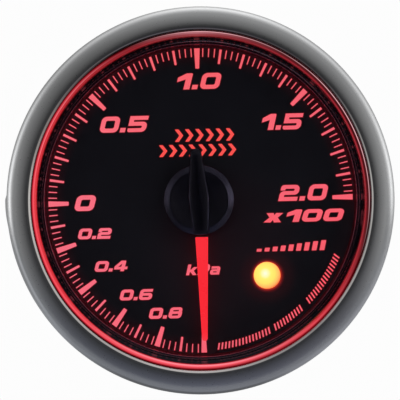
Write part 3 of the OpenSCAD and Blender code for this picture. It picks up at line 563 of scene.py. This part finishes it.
# ---------------------------------------------------------------- mesh helpers
def make(name, verts, faces, mats, index=None, body="housing", angle=32.0, weld=1e-7):
    me = bpy.data.meshes.new(name)
    me.from_pydata([tuple(v) for v in verts], [], faces)
    o = bpy.data.objects.new(name, me)
    bpy.context.scene.collection.objects.link(o)
    for m in mats:
        me.materials.append(M[m])
    if index is not None:
        for p, i in zip(me.polygons, index):
            p.material_index = i
    bm = bmesh.new()
    bm.from_mesh(me)
    if weld:
        bmesh.ops.remove_doubles(bm, verts=bm.verts, dist=weld)
    bmesh.ops.recalc_face_normals(bm, faces=bm.faces)
    bm.to_mesh(me)
    bm.free()
    me.shade_smooth()
    me.set_sharp_from_angle(angle=math.radians(angle))
    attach(o, body)
    return o


def lathe_data(prof, seg=256, mat=None):
    """Closed outline of (r, z) turned about the dial's axis; mat gives each outline edge's material index."""
    n = len(prof)
    vs, fs, ix = [], [], []
    for s in range(seg):
        a = TAU * s / seg
        for r, z in prof:
            vs.append(P(r * math.sin(a), r * math.cos(a), z))
    for s in range(seg):
        t = (s + 1) % seg
        for i in range(n):
            j = (i + 1) % n
            if prof[i][0] < 1e-9 and prof[j][0] < 1e-9:
                continue
            a, b, c, d = s * n + i, s * n + j, t * n + j, t * n + i
            if prof[i][0] < 1e-9:
                fs.append((a, b, c))
            elif prof[j][0] < 1e-9:
                fs.append((a, b, d))
            else:
                fs.append((a, b, c, d))
            ix.append(mat[i] if mat else 0)
    return vs, fs, ix


def lathe(name, prof, mats, seg=256, mat=None, body="housing", angle=32.0):
    vs, fs, ix = lathe_data(prof, seg, mat)
    return make(name, vs, fs, mats, ix, body, angle)


def arc(cx, cy, r, a0, a1, n):
    """Points of an arc in degrees, ends included."""
    return [(cx + r * math.cos(math.radians(a0 + (a1 - a0) * i / n)),
             cy + r * math.sin(math.radians(a0 + (a1 - a0) * i / n))) for i in range(n + 1)]


def area(loop):
    return 0.5 * sum(loop[i - 1][0] * loop[i][1] - loop[i][0] * loop[i - 1][1] for i in range(len(loop)))


def fillet(pts, n=5):
    """Outline from (x, y) or (x, y, radius) corners."""
    out = []
    k = len(pts)
    for i in range(k):
        p = pts[i]
        r = p[2] if len(p) > 2 else 0.0
        if r <= 0:
            out.append((p[0], p[1]))
            continue
        a, b, c = Vector(pts[i - 1][:2]), Vector(p[:2]), Vector(pts[(i + 1) % k][:2])
        u, v = (a - b), (c - b)
        lu, lv = u.length, v.length
        u.normalize(), v.normalize()
        half = math.acos(max(-1, min(1, u.dot(v)))) / 2
        t = min(r / math.tan(half), lu * 0.49, lv * 0.49)
        rr = t * math.tan(half)
        ctr = b + (u + v).normalized() * (rr / math.sin(half))
        s, e = b + u * t - ctr, b + v * t - ctr
        a0 = math.atan2(s.y, s.x)
        d = math.atan2(e.y, e.x) - a0
        while d > math.pi:
            d -= TAU
        while d < -math.pi:
            d += TAU
        for q in range(n + 1):
            w = a0 + d * q / n
            out.append((ctr.x + rr * math.cos(w), ctr.y + rr * math.sin(w)))
    clean = [p for i, p in enumerate(out) if math.dist(p, out[i - 1]) > 1e-4]
    return clean


def grow(loop, d):
    """Moves an outline outwards by d (inwards for a hole given clockwise)."""
    n = len(loop)
    sgn = 1.0 if area(loop) > 0 else -1.0
    out = []
    for i in range(n):
        a, b, c = Vector(loop[i - 1]), Vector(loop[i]), Vector(loop[(i + 1) % n])
        u, v = (b - a).normalized(), (c - b).normalized()
        n1, n2 = Vector((u.y, -u.x)), Vector((v.y, -v.x))
        m = n1 + n2
        m = m.normalized() if m.length > 1e-6 else n1
        k = max(0.55, m.dot(n1))
        p = b + m * (sgn * d / k)
        out.append((p.x, p.y))
    return out


def prism_data(loops, z0, z1, base=0):
    """A solid between two levels from one outer outline and its holes."""
    flat = [p for lp in loops for p in lp]
    tri = tessellate_polygon([[Vector((x, y, 0)) for x, y in lp] for lp in loops])
    n = len(flat)
    vs = [P(x, y, z1) for x, y in flat] + [P(x, y, z0) for x, y in flat]
    fs = [tuple(base + i for i in t) for t in tri]
    fs += [tuple(base + n + i for i in reversed(t)) for t in tri]
    at = 0
    for lp in loops:
        m = len(lp)
        for i in range(m):
            j = (i + 1) % m
            fs.append((base + at + i, base + at + j, base + n + at + j, base + n + at + i))
        at += m
    return vs, fs


def prisms(name, shapes, z0, z1, mats, body="housing", angle=40.0):
    vs, fs = [], []
    for loops in shapes:
        v, f = prism_data(loops, z0, z1, len(vs))
        vs += v
        fs += f
    return make(name, vs, fs, mats, None, body, angle)


def move(loops, dx, dy, k=1.0, slant=0.0, turn=0.0):
    c, s = math.cos(turn), math.sin(turn)
    out = []
    for lp in loops:
        q = []
        for x, y in lp:
            x, y = (x + slant * y) * k, y * k
            q.append((x * c - y * s + dx, x * s + y * c + dy))
        out.append(q)
    return out


def bevel(o, width, segments=3, angle=30.0):
    b = o.modifiers.new("edge", "BEVEL")
    b.width, b.segments, b.limit_method, b.angle_limit = width * MM, segments, "ANGLE", math.radians(angle)
    b.harden_normals = False
    return o


# ---------------------------------------------------------------- bezel, lens, ring, shroud
BZ_R, BZ_H, BZ_OPEN, BZ_CROWN = 31.44, 6.0, 27.7, 28.35
crown = [(BZ_CROWN + (BZ_R - BZ_CROWN) * math.cos(math.radians(90 * i / 40)),
          2.3 + (BZ_H - 2.3) * math.sin(math.radians(90 * i / 40))) for i in range(41)]
prof = [(29.85, 0.0), (BZ_R - 0.3, 0.0), (BZ_R - 0.17, 0.04), (BZ_R - 0.04, 0.17), (BZ_R, 0.3)] + crown
n_satin = len(prof) - 1
prof += [(27.93, 6.0), (27.89, 5.985), (27.58, 5.71), (27.56, 5.68), (27.56, 4.0), (30.65, 4.0), (30.65, 0.6), (29.85, 0.6)]
mat = [0] * (n_satin + 1) + [1, 1, 1, 0] + [0] * (len(prof) - n_satin - 5)
vs, fs, ix = lathe_data(prof, 720, mat)


def swell(v):
    """The index tab: the rim swells by 0.3 mm near 268 degrees and runs out slowly below it."""
    x, z = v.x / MM, v.z / MM
    r = math.hypot(x, z)
    if r < 31.0:
        return v
    d = (math.degrees(math.atan2(x, z)) % 360 - 271.6) * math.pi / 180 * 31.5   # mm along the rim, + is upwards
    level = -v.y / MM
    up = 1.0 - max(0.0, min(1.0, (level - 1.5) / 1.1))
    low = max(0.0, min(1.0, level / 0.35))
    along = math.exp(-(d / 0.55) ** 2) if d > 0 else math.exp(-(abs(d) / 3.9) ** 3)
    k = 0.30 * along * up * up * (3 - 2 * up) * low
    return Vector((v.x * (1 + k / r), v.y, v.z * (1 + k / r)))


vs = [swell(v) for v in vs]
# The polished edge is cut a hair off centre, towards the right.
vs = [Vector((v.x + 0.05 * MM, v.y, v.z)) if 27.5 < math.hypot(v.x, v.z) / MM < 28.0 and -v.y / MM > 5.5 else v for v in vs]
bezel = make("bezel", vs, fs, ["bezel", "chamfer"], ix, angle=28)
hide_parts("bezel_ring")

lens_o = lathe("lens_disc", [(0, 2.4), (30.2, 2.4), (30.3, 2.5), (30.3, 3.9), (30.2, 4.0), (0, 4.0)], ["lens"], 256, angle=30)
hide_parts("lens")

bead = [(27.0 + 0.5 * math.cos(math.radians(180 * i / 28)), 1.4 + 0.5 * math.sin(math.radians(180 * i / 28))) for i in range(29)]
halo_prof = [(26.7, -11.3), (27.9, -11.3), (27.9, -12.0), (28.4, -12.0), (28.4, -10.4), (27.5, -10.4), (27.5, 1.0),
             (28.3, 1.0), (28.3, 1.8), (27.8, 1.8), (27.8, 1.4)] + bead + [(26.5, 1.2), (26.7, 1.2)]
halo = lathe("halo_ring", halo_prof, ["halo"], 360, angle=35)
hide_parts("halo_light_ring")

# The shroud's cone carries a fine bead above the dial and a finer one half way up.
low_bead = arc(25.49, -2.12, 0.13, 215, 20, 12)
top_bead = arc(25.90, -0.60, 0.085, 205, 25, 10)
wall = [(25.03, -3.1), (26.6, -3.1), (26.6, 1.16), (26.57, 1.2), (26.50, 1.2), (26.46, 1.15)] + top_bead[::-1] + \
    [(25.80, -0.74)] + low_bead[::-1] + [(25.38, -2.32), (25.10, -2.95)]
shroud_mat = [1 if 6 <= i < 6 + len(top_bead) - 1 else 2 if 7 + len(top_bead) <= i < 6 + len(top_bead) + len(low_bead)
              else 3 if i >= 6 + len(top_bead) + len(low_bead) else 0 for i in range(len(wall))]
shroud = lathe("shroud_cone", wall, ["shroud", "shroud_line", "shroud_bead", "shroud_foot"], 360, mat=shroud_mat, angle=40)
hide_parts("dial_shroud")

# ---------------------------------------------------------------- dial face
outer = arc(0, 0, 26.5, 0, 360, 256)[:-1]
hole_c = arc(0, 0, 2.6, 0, -360, 64)[:-1]
hole_l = [(LAMP[0] - 0.04 + x, LAMP[1] + 0.04 + y) for x, y in arc(0, 0, 2.2, 0, -360, 72)[:-1]]
dial = prisms("dial_plate", [[outer, hole_c, hole_l]], -3.6, -3.1, ["dial"], angle=50)
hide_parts("dial_face")

# ---- glyphs, drawn in a box one unit tall ----
T = 0.235   # stroke
R, RI = 0.27, 0.11


def g0(w=1.06):
    return w, [[(0, 0, R), (w, 0, R), (w, 1, R), (0, 1, R)],
               [(T, 0.22, RI), (T, 0.78, RI), (w - T, 0.78, RI), (w - T, 0.22, RI)]]


def g1(w=0.66):
    return w, [[(w - 0.30, 0), (w, 0), (w, 1, 0.05), (w - 0.33, 1, 0.12), (-0.10, 0.74, 0.05), (-0.10, 0.50), (w - 0.30, 0.66)]]


def g2(w=1.06):
    return w, [[(0, 0), (w, 0), (w, 0.215), (T, 0.215), (T, 0.40, 0.06), (w, 0.40, R * 0.8), (w, 1, R), (0, 1, R),
                (0, 0.69), (T, 0.69), (T, 0.80, 0.05), (w - T, 0.80, RI), (w - T, 0.60, RI), (0, 0.60, R * 0.8)]]


def g4(w=1.06):
    return w, [[(w - 0.48, 0), (w - 0.23, 0), (w - 0.23, 0.19), (w, 0.19), (w, 0.39), (w - 0.23, 0.39), (w - 0.23, 1, 0.04),
                (w - 0.60, 1, 0.06), (0, 0.44, 0.06), (0, 0.19), (w - 0.48, 0.19)],
               [(0.24, 0.39), (w - 0.48, 0.80), (w - 0.48, 0.39)]]


def g5(w=1.06):
    return w, [[(0, 0, R), (w, 0, R), (w, 0.62, R * 0.9), (T, 0.62), (T, 0.79), (w, 0.79), (w, 1), (0, 1), (0, 0.41), (w - T, 0.41, RI),
                (w - T, 0.20, RI), (0, 0.20)]]


def g6(w=1.06):
    return w, [[(0, 0, R), (w, 0, R), (w, 0.615, R * 0.9), (T, 0.615), (T, 0.80, RI), (w - 0.05, 0.80), (w - 0.05, 1), (0, 1, R)],
               [(T, 0.20, RI * 0.8), (T, 0.42, RI * 0.6), (w - T, 0.42, RI * 0.8), (w - T, 0.20, RI * 0.8)]]


def g8(w=1.06):
    return w, [[(0, 0, R), (w, 0, R), (w, 0.53, 0.16), (w - 0.035, 0.545), (w - 0.035, 1, R), (0.035, 1, R), (0.035, 0.545), (0, 0.53, 0.16)],
               [(T, 0.195, RI * 0.8), (T, 0.43, RI * 0.8), (w - T, 0.43, RI * 0.8), (w - T, 0.195, RI * 0.8)],
               [(T + 0.02, 0.615, RI * 0.8), (T + 0.02, 0.81, RI * 0.8), (w - T - 0.02, 0.81, RI * 0.8), (w - T - 0.02, 0.615, RI * 0.8)]]


def gdot(w=0.27):
    return w, [[(0, 0), (w, 0), (w, 0.24), (0, 0.24)]]


def gx(w=0.92):
    s, m = 0.36, w / 2
    return w, [[(0, 0), (s - 0.02, 0), (m, 0.26), (w - s + 0.02, 0), (w, 0), (m + 0.20, 0.38), (w - 0.03, 0.74), (w - s, 0.74),
                (m, 0.51), (s, 0.74), (0.03, 0.74), (m - 0.20, 0.38)]]


def gk(w=0.92):
    return w, [[(0, 0), (T, 0), (T, 0.30), (T + 0.12, 0.30), (w - 0.30, 0), (w, 0), (w - 0.34, 0.40), (w - 0.04, 0.74), (w - 0.33, 0.74),
                (T + 0.13, 0.50), (T, 0.50), (T, 1), (0, 1)]]


def gP(w=1.0):
    return w, [[(0, 0), (T, 0), (T, 0.29), (w, 0.29, R * 0.9), (w, 1, R * 0.9), (0, 1)],
               [(T, 0.48), (T, 0.81), (w - T, 0.81, RI), (w - T, 0.48, RI)]]


def ga(w=0.86):
    return w, [[(0, 0, R * 0.7), (w, 0), (w, 0.76, R * 0.8), (0.06, 0.76), (0.06, 0.59), (w - T, 0.59, 0.05), (w - T, 0.47), (0, 0.47, R * 0.7)],
               [(T, 0.155, 0.04), (T, 0.32, 0.04), (w - T, 0.32), (w - T, 0.155)]]


GLYPH = {"0": g0, "1": g1, "2": g2, "4": g4, "5": g5, "6": g6, "8": g8, ".": gdot, "x": gx, "k": gk, "P": gP, "a": ga}
SLANT = math.tan(math.radians(13))


def word(text, cx, cy, h, gap=0.17, width=None, bold=0.0):
    """Shapes of a word centred at a point; width stretches it to a measured width, bold thickens its strokes."""
    x, made = 0.0, []
    for ch in text:
        if ch == " ":
            x += 0.22
            continue
        w, loops = GLYPH[ch]()
        made.append((x, [fillet(lp) for lp in loops]))
        x += w + gap
    total = x - gap + SLANT
    kx = (width / h / total) if width else 1.0
    shapes = []
    for off, loops in made:
        out = []
        for k, lp in enumerate(loops):
            lp = [(((px + off) + SLANT * py - total / 2) * kx * h + cx, (py - 0.5) * h + cy) for px, py in lp]
            if (area(lp) > 0) != (k == 0):
                lp.reverse()
            out.append(grow(lp, bold if k == 0 else -bold) if bold else lp)
        shapes.append(out)
    return shapes


K = 0.16203 * 1.0036
BOLD = 0.055
marks = []
numerals = []
for text, cx, cy, h, w in [
    ("1.0", 0.33, 19.40, 15.9, 45.5), ("0.5", -12.14, 12.68, 15.9, 50.2), ("1.5", 13.67, 12.49, 15.9, 41.9),
    ("2.0", 16.77, 0.87, 15.9, 51.0), ("0", -18.74, 0.02, 15.6, 23.4),
    ("0.2", -17.30, -4.98, 10.6, 35.3), ("0.4", -14.72, -10.33, 10.5, 35.2), ("0.6", -10.79, -15.07, 10.7, 34.8), ("0.8", -6.09, -18.17, 10.9, 35.2),
]:
    heavy = BOLD + (0.04 if text == "0" else 0.0)
    numerals += word(text, cx, cy, h * K - 2 * heavy, width=w * K - 2 * heavy, bold=heavy)
# A multiplier and a unit stand where the dial has its words.
units = word("x 100", 16.83, -2.86, 12.3 * K - 0.18, gap=0.20, width=80.6 * K - 0.06, bold=0.09) + \
    word("kPa", 0.24, -11.24, 10.6 * K - 0.10, width=35.4 * K - 0.10, bold=0.05)


def tick(deg, r0, r1, w0, w1):
    """A mark from radius r0 (outer) to r1 (inner), w0 and w1 wide; deg is clockwise from the top."""
    a = math.radians(90 - deg)
    lp = fillet([(r1, -w1 / 2, 0.10), (r0, -w0 / 2, 0.04), (r0, w0 / 2, 0.04), (r1, w1 / 2, 0.10)], 3)
    return move([lp], 0, 0, turn=a)


R_OUT = 24.73
for i in range(121):                       # 0.025 bar steps from the bottom, clockwise
    deg = 180 + 2.25 * i
    if i % 4:
        inner = 23.35 if deg < 270 else 23.35
        marks.append(tick(deg, R_OUT, inner, 0.165, 0.145))
    else:
        tenth = i // 4                     # counted in 0.1 bar from -1.0
        if tenth <= 10:
            major = tenth % 2 == 0
        else:
            major = tenth % 5 == 0
        if major:
            marks.append(tick(deg, R_OUT, 21.45, 0.90, 0.60))
        else:
            marks.append(tick(deg, R_OUT, 22.38, 0.38, 0.34))

TOP = DIAL_Z + 0.03
n_obj = prisms("dial_numerals", numerals, DIAL_Z, TOP, ["print"])
t_obj = prisms("dial_marks", marks, DIAL_Z, TOP, ["print"])
u_obj = prisms("dial_units", units, DIAL_Z, TOP, ["print"])

# ---- generic ornaments -------------------------------------------------------
# A rising ramp of slanted bars above the lamp.
ramp_bars = []
for i in range(9):
    h = 0.45 + 0.145 * i
    x = 9.0 + i * 1.28
    ramp_bars.append(move([fillet([(0, 0, 0.08), (0.78, 0, 0.08), (0.78, h, 0.08), (0, h, 0.08)], 2)], x - 0.1, -8.55, slant=0.22))
# Three runs of fine slanted strokes along the lower right of the dial.
band = []
for i in range(45):
    f = i / 44
    if 0.345 < f < 0.385 or 0.600 < f < 0.640:
        continue
    a = math.radians(90 - (174.2 - 60.6 * f))
    lp = fillet([(-0.53, 0.01, 0.05), (0.53, -0.27, 0.05), (0.53, -0.03, 0.05), (-0.53, 0.25, 0.05)], 2)
    band.append(move([lp], 23.9 * math.cos(a), 23.9 * math.sin(a), turn=a))
orn = prisms("dial_ornaments", ramp_bars + band, DIAL_Z, TOP, ["print"])

# Two rows of plain chevrons above the pointer's tail.


def chevron(x, y, w, h, t):
    """A right-pointing chevron: x and y at its lower left, w wide, h tall, t across its stroke."""
    m = h / 2
    return [(x, y), (x + t, y), (x + w, y + m), (x + t, y + h), (x, y + h), (x + w - t, y + m)]


emblem = []
for i in range(6):
    emblem.append([fillet([(px, py, 0.06) for px, py in chevron(-3.92 + 1.66 * i, 9.62 , 1.36, 2.0, 0.62)], 2)])
for i in range(8):
    emblem.append([fillet([(px, py, 0.06) for px, py in chevron(-6.55 + 1.60 * i, 7.22, 1.36, 1.9, 0.62)], 2)])
e_obj = prisms("dial_emblem", emblem, DIAL_Z, TOP, ["emblem"])

# ---- light bleeding round every printed shape ----
bleed = []
for shape in numerals + marks + units + ramp_bars + band + emblem:
    outer_l = grow(shape[0], 0.12)
    holes = []
    for h in shape[1:]:
        g = grow(h, -0.12)
        if abs(area(g)) > 0.02 and (area(g) > 0) == (area(h) > 0):
            holes.append(g)
    bleed.append([outer_l] + holes)
bl = prisms("dial_light_bleed", bleed, DIAL_Z, DIAL_Z + 0.012, ["bleed"])

# ---------------------------------------------------------------- warning lamp
rl = 2.15
dome = [(rl * (1 - i / 16), DIAL_Z + 0.3 - 0.3 * ((rl * (1 - i / 16)) / 2.2) ** 2) for i in range(17)]
lamp_prof = [(0, -6.1), (2.5, -6.1), (2.5, -5.3), (rl, -5.3)] + dome
vs, fs, ix = lathe_data([(r, z) for r, z in lamp_prof], 96)
off = P(10.52, -12.43, 0)
lamp = make("lamp_window", [v + off for v in vs], fs, ["lamp"], ix, angle=30)
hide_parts("warning_lamp_lens")

# ---------------------------------------------------------------- pointer
RW, TW, NL = 2.07, 0.90, 22.8
LEAN = math.radians(-0.42)             # the bar sits a hair off its mark
CAP = Vector((-0.26, 0.0, 0.08)) * MM  # the cap is pressed on a little off centre
CAP_TURN = math.radians(-2.6)
RY = 5.95
nd = [(-RW / 2, -RY), (RW / 2, -RY), (TW / 2, -NL + 0.25), (TW / 2 - 0.2, -NL), (-TW / 2 + 0.2, -NL), (-TW / 2, -NL + 0.25)]
needle = prisms("needle_bar", [[nd], [[(-0.5, -RY - 0.05), (-0.5, -3.9), (0.5, -3.9), (0.5, -RY - 0.05)]]], -1.8, -1.0, ["needle"], "pointer")
# the tongue is thinner than the bar
for v in needle.data.vertices:
    if v.co.z > (-RY - 0.1) * MM and abs(v.co.x) <= 0.5001 * MM:
        v.co.y = 1.6 * MM if v.co.y > 1.4 * MM else 1.2 * MM
for v in needle.data.vertices:
    v.co = Matrix.Rotation(LEAN, 4, "Y") @ v.co
bevel(needle, 0.10, 2)
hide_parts("needle")


def hub_profile():
    top = arc(4.74, 0.99, 0.16, 90, 62, 4)
    rim = arc(5.55, 0.52, 0.15, 58, 0, 5)
    return [(0, 0.5), (2.2, 0.5), (2.2, -0.8), (3.0, -0.8), (3.0, 0.5), (4.9, 0.5), (4.9, -0.7), (5.62, -0.7), (5.70, -0.62)] + \
        [(x, y) for x, y in reversed(rim)] + [(x, y) for x, y in reversed(top)] + \
        [(4.40, 1.12), (4.25, 1.06), (0, 1.06)]


hp = hub_profile()
hub = lathe("hub_disc", hp, ["hub", "hub_edge"], 192, mat=[1 if 10 <= i < len(hp) - 4 else 0 for i in range(len(hp))], body="pointer", angle=24)
for v in hub.data.vertices:
    v.co += CAP
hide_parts("hub_cap")

# Boat-shaped ridge along the pointer, with a crowned top.
half = [(-5.5, 1.16), (-4.3, 1.34), (-1.6, 1.62), (0.4, 1.71), (0.9, 1.69), (3.3, 1.44), (6.9, 1.01), (8.1, 0.88), (8.35, 0.62)]


def width_at(y):
    for (y0, w0), (y1, w1) in zip(half, half[1:]):
        if y0 <= y <= y1:
            t = (y - y0) / (y1 - y0)
            return w0 + (w1 - w0) * t
    return half[-1][1]


def ridge():
    ys = [-5.5 + 13.85 * i / 46 for i in range(47)]
    sect = [(-1.0, 0.52), (-1.0, 1.18), (-0.95, 1.34), (-0.84, 1.44), (-0.55, 1.53), (0.0, 1.58), (0.55, 1.53), (0.84, 1.44), (0.95, 1.34),
            (1.0, 1.18), (1.0, 0.52)]
    n = len(sect)
    vs, fs = [], []
    for y in ys:
        w = width_at(y)
        drop = 0.0 if y < 7.2 else 0.45 * ((y - 7.2) / 1.15) ** 2
        if y < -4.6:
            drop = 0.40 * ((-4.6 - y) / 0.9) ** 2
        for sx, sz in sect:
            vs.append(P(sx * w, y, 0.52 + (sz - 0.52) * (1 - drop / 1.06)))
    ix = []
    for k in range(len(ys) - 1):
        for i in range(n):
            j = (i + 1) % n
            fs.append((k * n + i, k * n + j, (k + 1) * n + j, (k + 1) * n + i))
            ix.append(1 if i in (1, 2, 7, 8) else 0)
    fs.append(tuple(range(n)))
    fs.append(tuple(range((len(ys) - 1) * n, len(ys) * n)))
    return vs, fs, ix + [0, 0]


v, f, ix = ridge()
rid = make("hub_ridge", v, f, ["hub", "hub_edge"], ix, "pointer", angle=38)
for v in rid.data.vertices:
    v.co = Matrix.Rotation(CAP_TURN, 4, "Y") @ v.co + CAP

# ---------------------------------------------------------------- stage
def plane(name, pts, mat):
    me = bpy.data.meshes.new(name)
    me.from_pydata(pts, [], [tuple(range(len(pts)))])
    o = bpy.data.objects.new(name, me)
    bpy.context.scene.collection.objects.link(o)
    me.materials.append(mat)
    return o


fm, nt, b = new_mat("floor_pale")
nt.links.new(ramp(nt, noise(nt, coords(nt), 3.0, 3.0), [(0.3, (0.55, 0.56, 0.58)), (0.7, (0.59, 0.60, 0.62))]), b.inputs["Base Color"])
b.inputs["Roughness"].default_value = 0.7
FL = -0.36
plane("floor", [(-4, -0.044, FL), (4, -0.044, FL), (4, 4, FL), (-4, 4, FL)], fm)

# Soft studio: dark in front of the dial, brighter to the sides and above, a white sweep behind.
world = bpy.data.worlds.new("studio")
bpy.context.scene.world = world
world.use_nodes = True
nt = world.node_tree
nt.nodes.clear()
wout = nt.nodes.new("ShaderNodeOutputWorld")
bg = nt.nodes.new("ShaderNodeBackground")
tc = nt.nodes.new("ShaderNodeTexCoord")
sep = nt.nodes.new("ShaderNodeSeparateXYZ")
nt.links.new(tc.outputs["Generated"], sep.inputs["Vector"])
t = maprange(nt, sep.outputs["Y"], -1.0, 1.0, 0.0, 1.0)
away = ramp(nt, math_node(nt, "MULTIPLY", t, 1.0),
            [(0.0, 0.014), (0.011, 0.074), (0.081, 0.152), (0.213, 0.195), (0.379, 0.25), (0.517, 0.31), (0.60, 0.42), (0.663, 0.56),
             (0.735, 0.78), (0.80, 0.80), (0.87, 0.55), (0.93, 0.30), (1.0, 0.20)])
ang = math_node(nt, "DIVIDE", math_node(nt, "ARCTAN2", sep.outputs["X"], sep.outputs["Z"]), TAU)
ang = math_node(nt, "FRACT", math_node(nt, "ADD", ang, 1.0))
side = ramp(nt, ang, [(0.0, 0.62), (0.125, 0.55), (0.25, 0.68), (0.32, 0.46), (0.375, (0.29, 0.29, 0.32)), (0.5, (0.265, 0.275, 0.325)),
                      (0.625, (0.245, 0.25, 0.28)), (0.70, 0.42), (0.75, 0.53), (0.82, 0.42), (0.875, 0.37), (0.94, 0.50), (1.0, 0.62)], "EASE")
# Two upright soft strips, to the left and right behind the bezel.
strip = mix_rgb(nt, ramp(nt, t, [(0.64, 0.0), (0.71, 0.50), (0.775, 1.2), (0.82, 0.75), (0.87, 0.0)]),
                ramp(nt, ang, [(0.16, 0.0), (0.25, 0.62), (0.31, 0.20), (0.40, 0.16), (0.45, 0.0), (0.56, 0.0), (0.60, 0.12), (0.66, 0.15), (0.71, 0.8), (0.77, 1.0), (0.86, 0.0)]))
lit = nt.nodes.new("ShaderNodeVectorMath")
lit.operation = "MULTIPLY"
nt.links.new(away, lit.inputs[0])
nt.links.new(side, lit.inputs[1])
lit2 = nt.nodes.new("ShaderNodeVectorMath")
lit2.operation = "SCALE"
lit2.inputs["Scale"].default_value = 2.6
nt.links.new(lit.outputs["Vector"], lit2.inputs[0])
lp = nt.nodes.new("ShaderNodeLightPath")
mx = nt.nodes.new("ShaderNodeMix")
mx.data_type = "RGBA"
nt.links.new(lp.outputs["Is Camera Ray"], mx.inputs["Factor"])
nt.links.new(mix_rgb(nt, lit2.outputs["Vector"], strip, "ADD"), mx.inputs["A"])
mx.inputs["B"].default_value = (0.98, 0.98, 0.98, 1)
nt.links.new(mx.outputs["Result"], bg.inputs["Color"])
bg.inputs["Strength"].default_value = 1.0
nt.links.new(bg.outputs["Background"], wout.inputs["Surface"])


def area_light(name, loc, target, size, power, color=(1, 1, 1)):
    ld = bpy.data.lights.new(name, "AREA")
    ld.shape = "RECTANGLE"
    ld.size, ld.size_y = size
    ld.energy = power
    ld.color = color
    o = bpy.data.objects.new(name, ld)
    bpy.context.scene.collection.objects.link(o)
    o.location = loc
    o.rotation_mode = "QUATERNION"
    o.rotation_quaternion = (Vector(target) - Vector(loc)).to_track_quat("-Z", "Y")
    return o


area_light("light_back", (0, 1.1, 0.9), (0, 0.75, -0.15), (1.6, 0.8), 0.4)
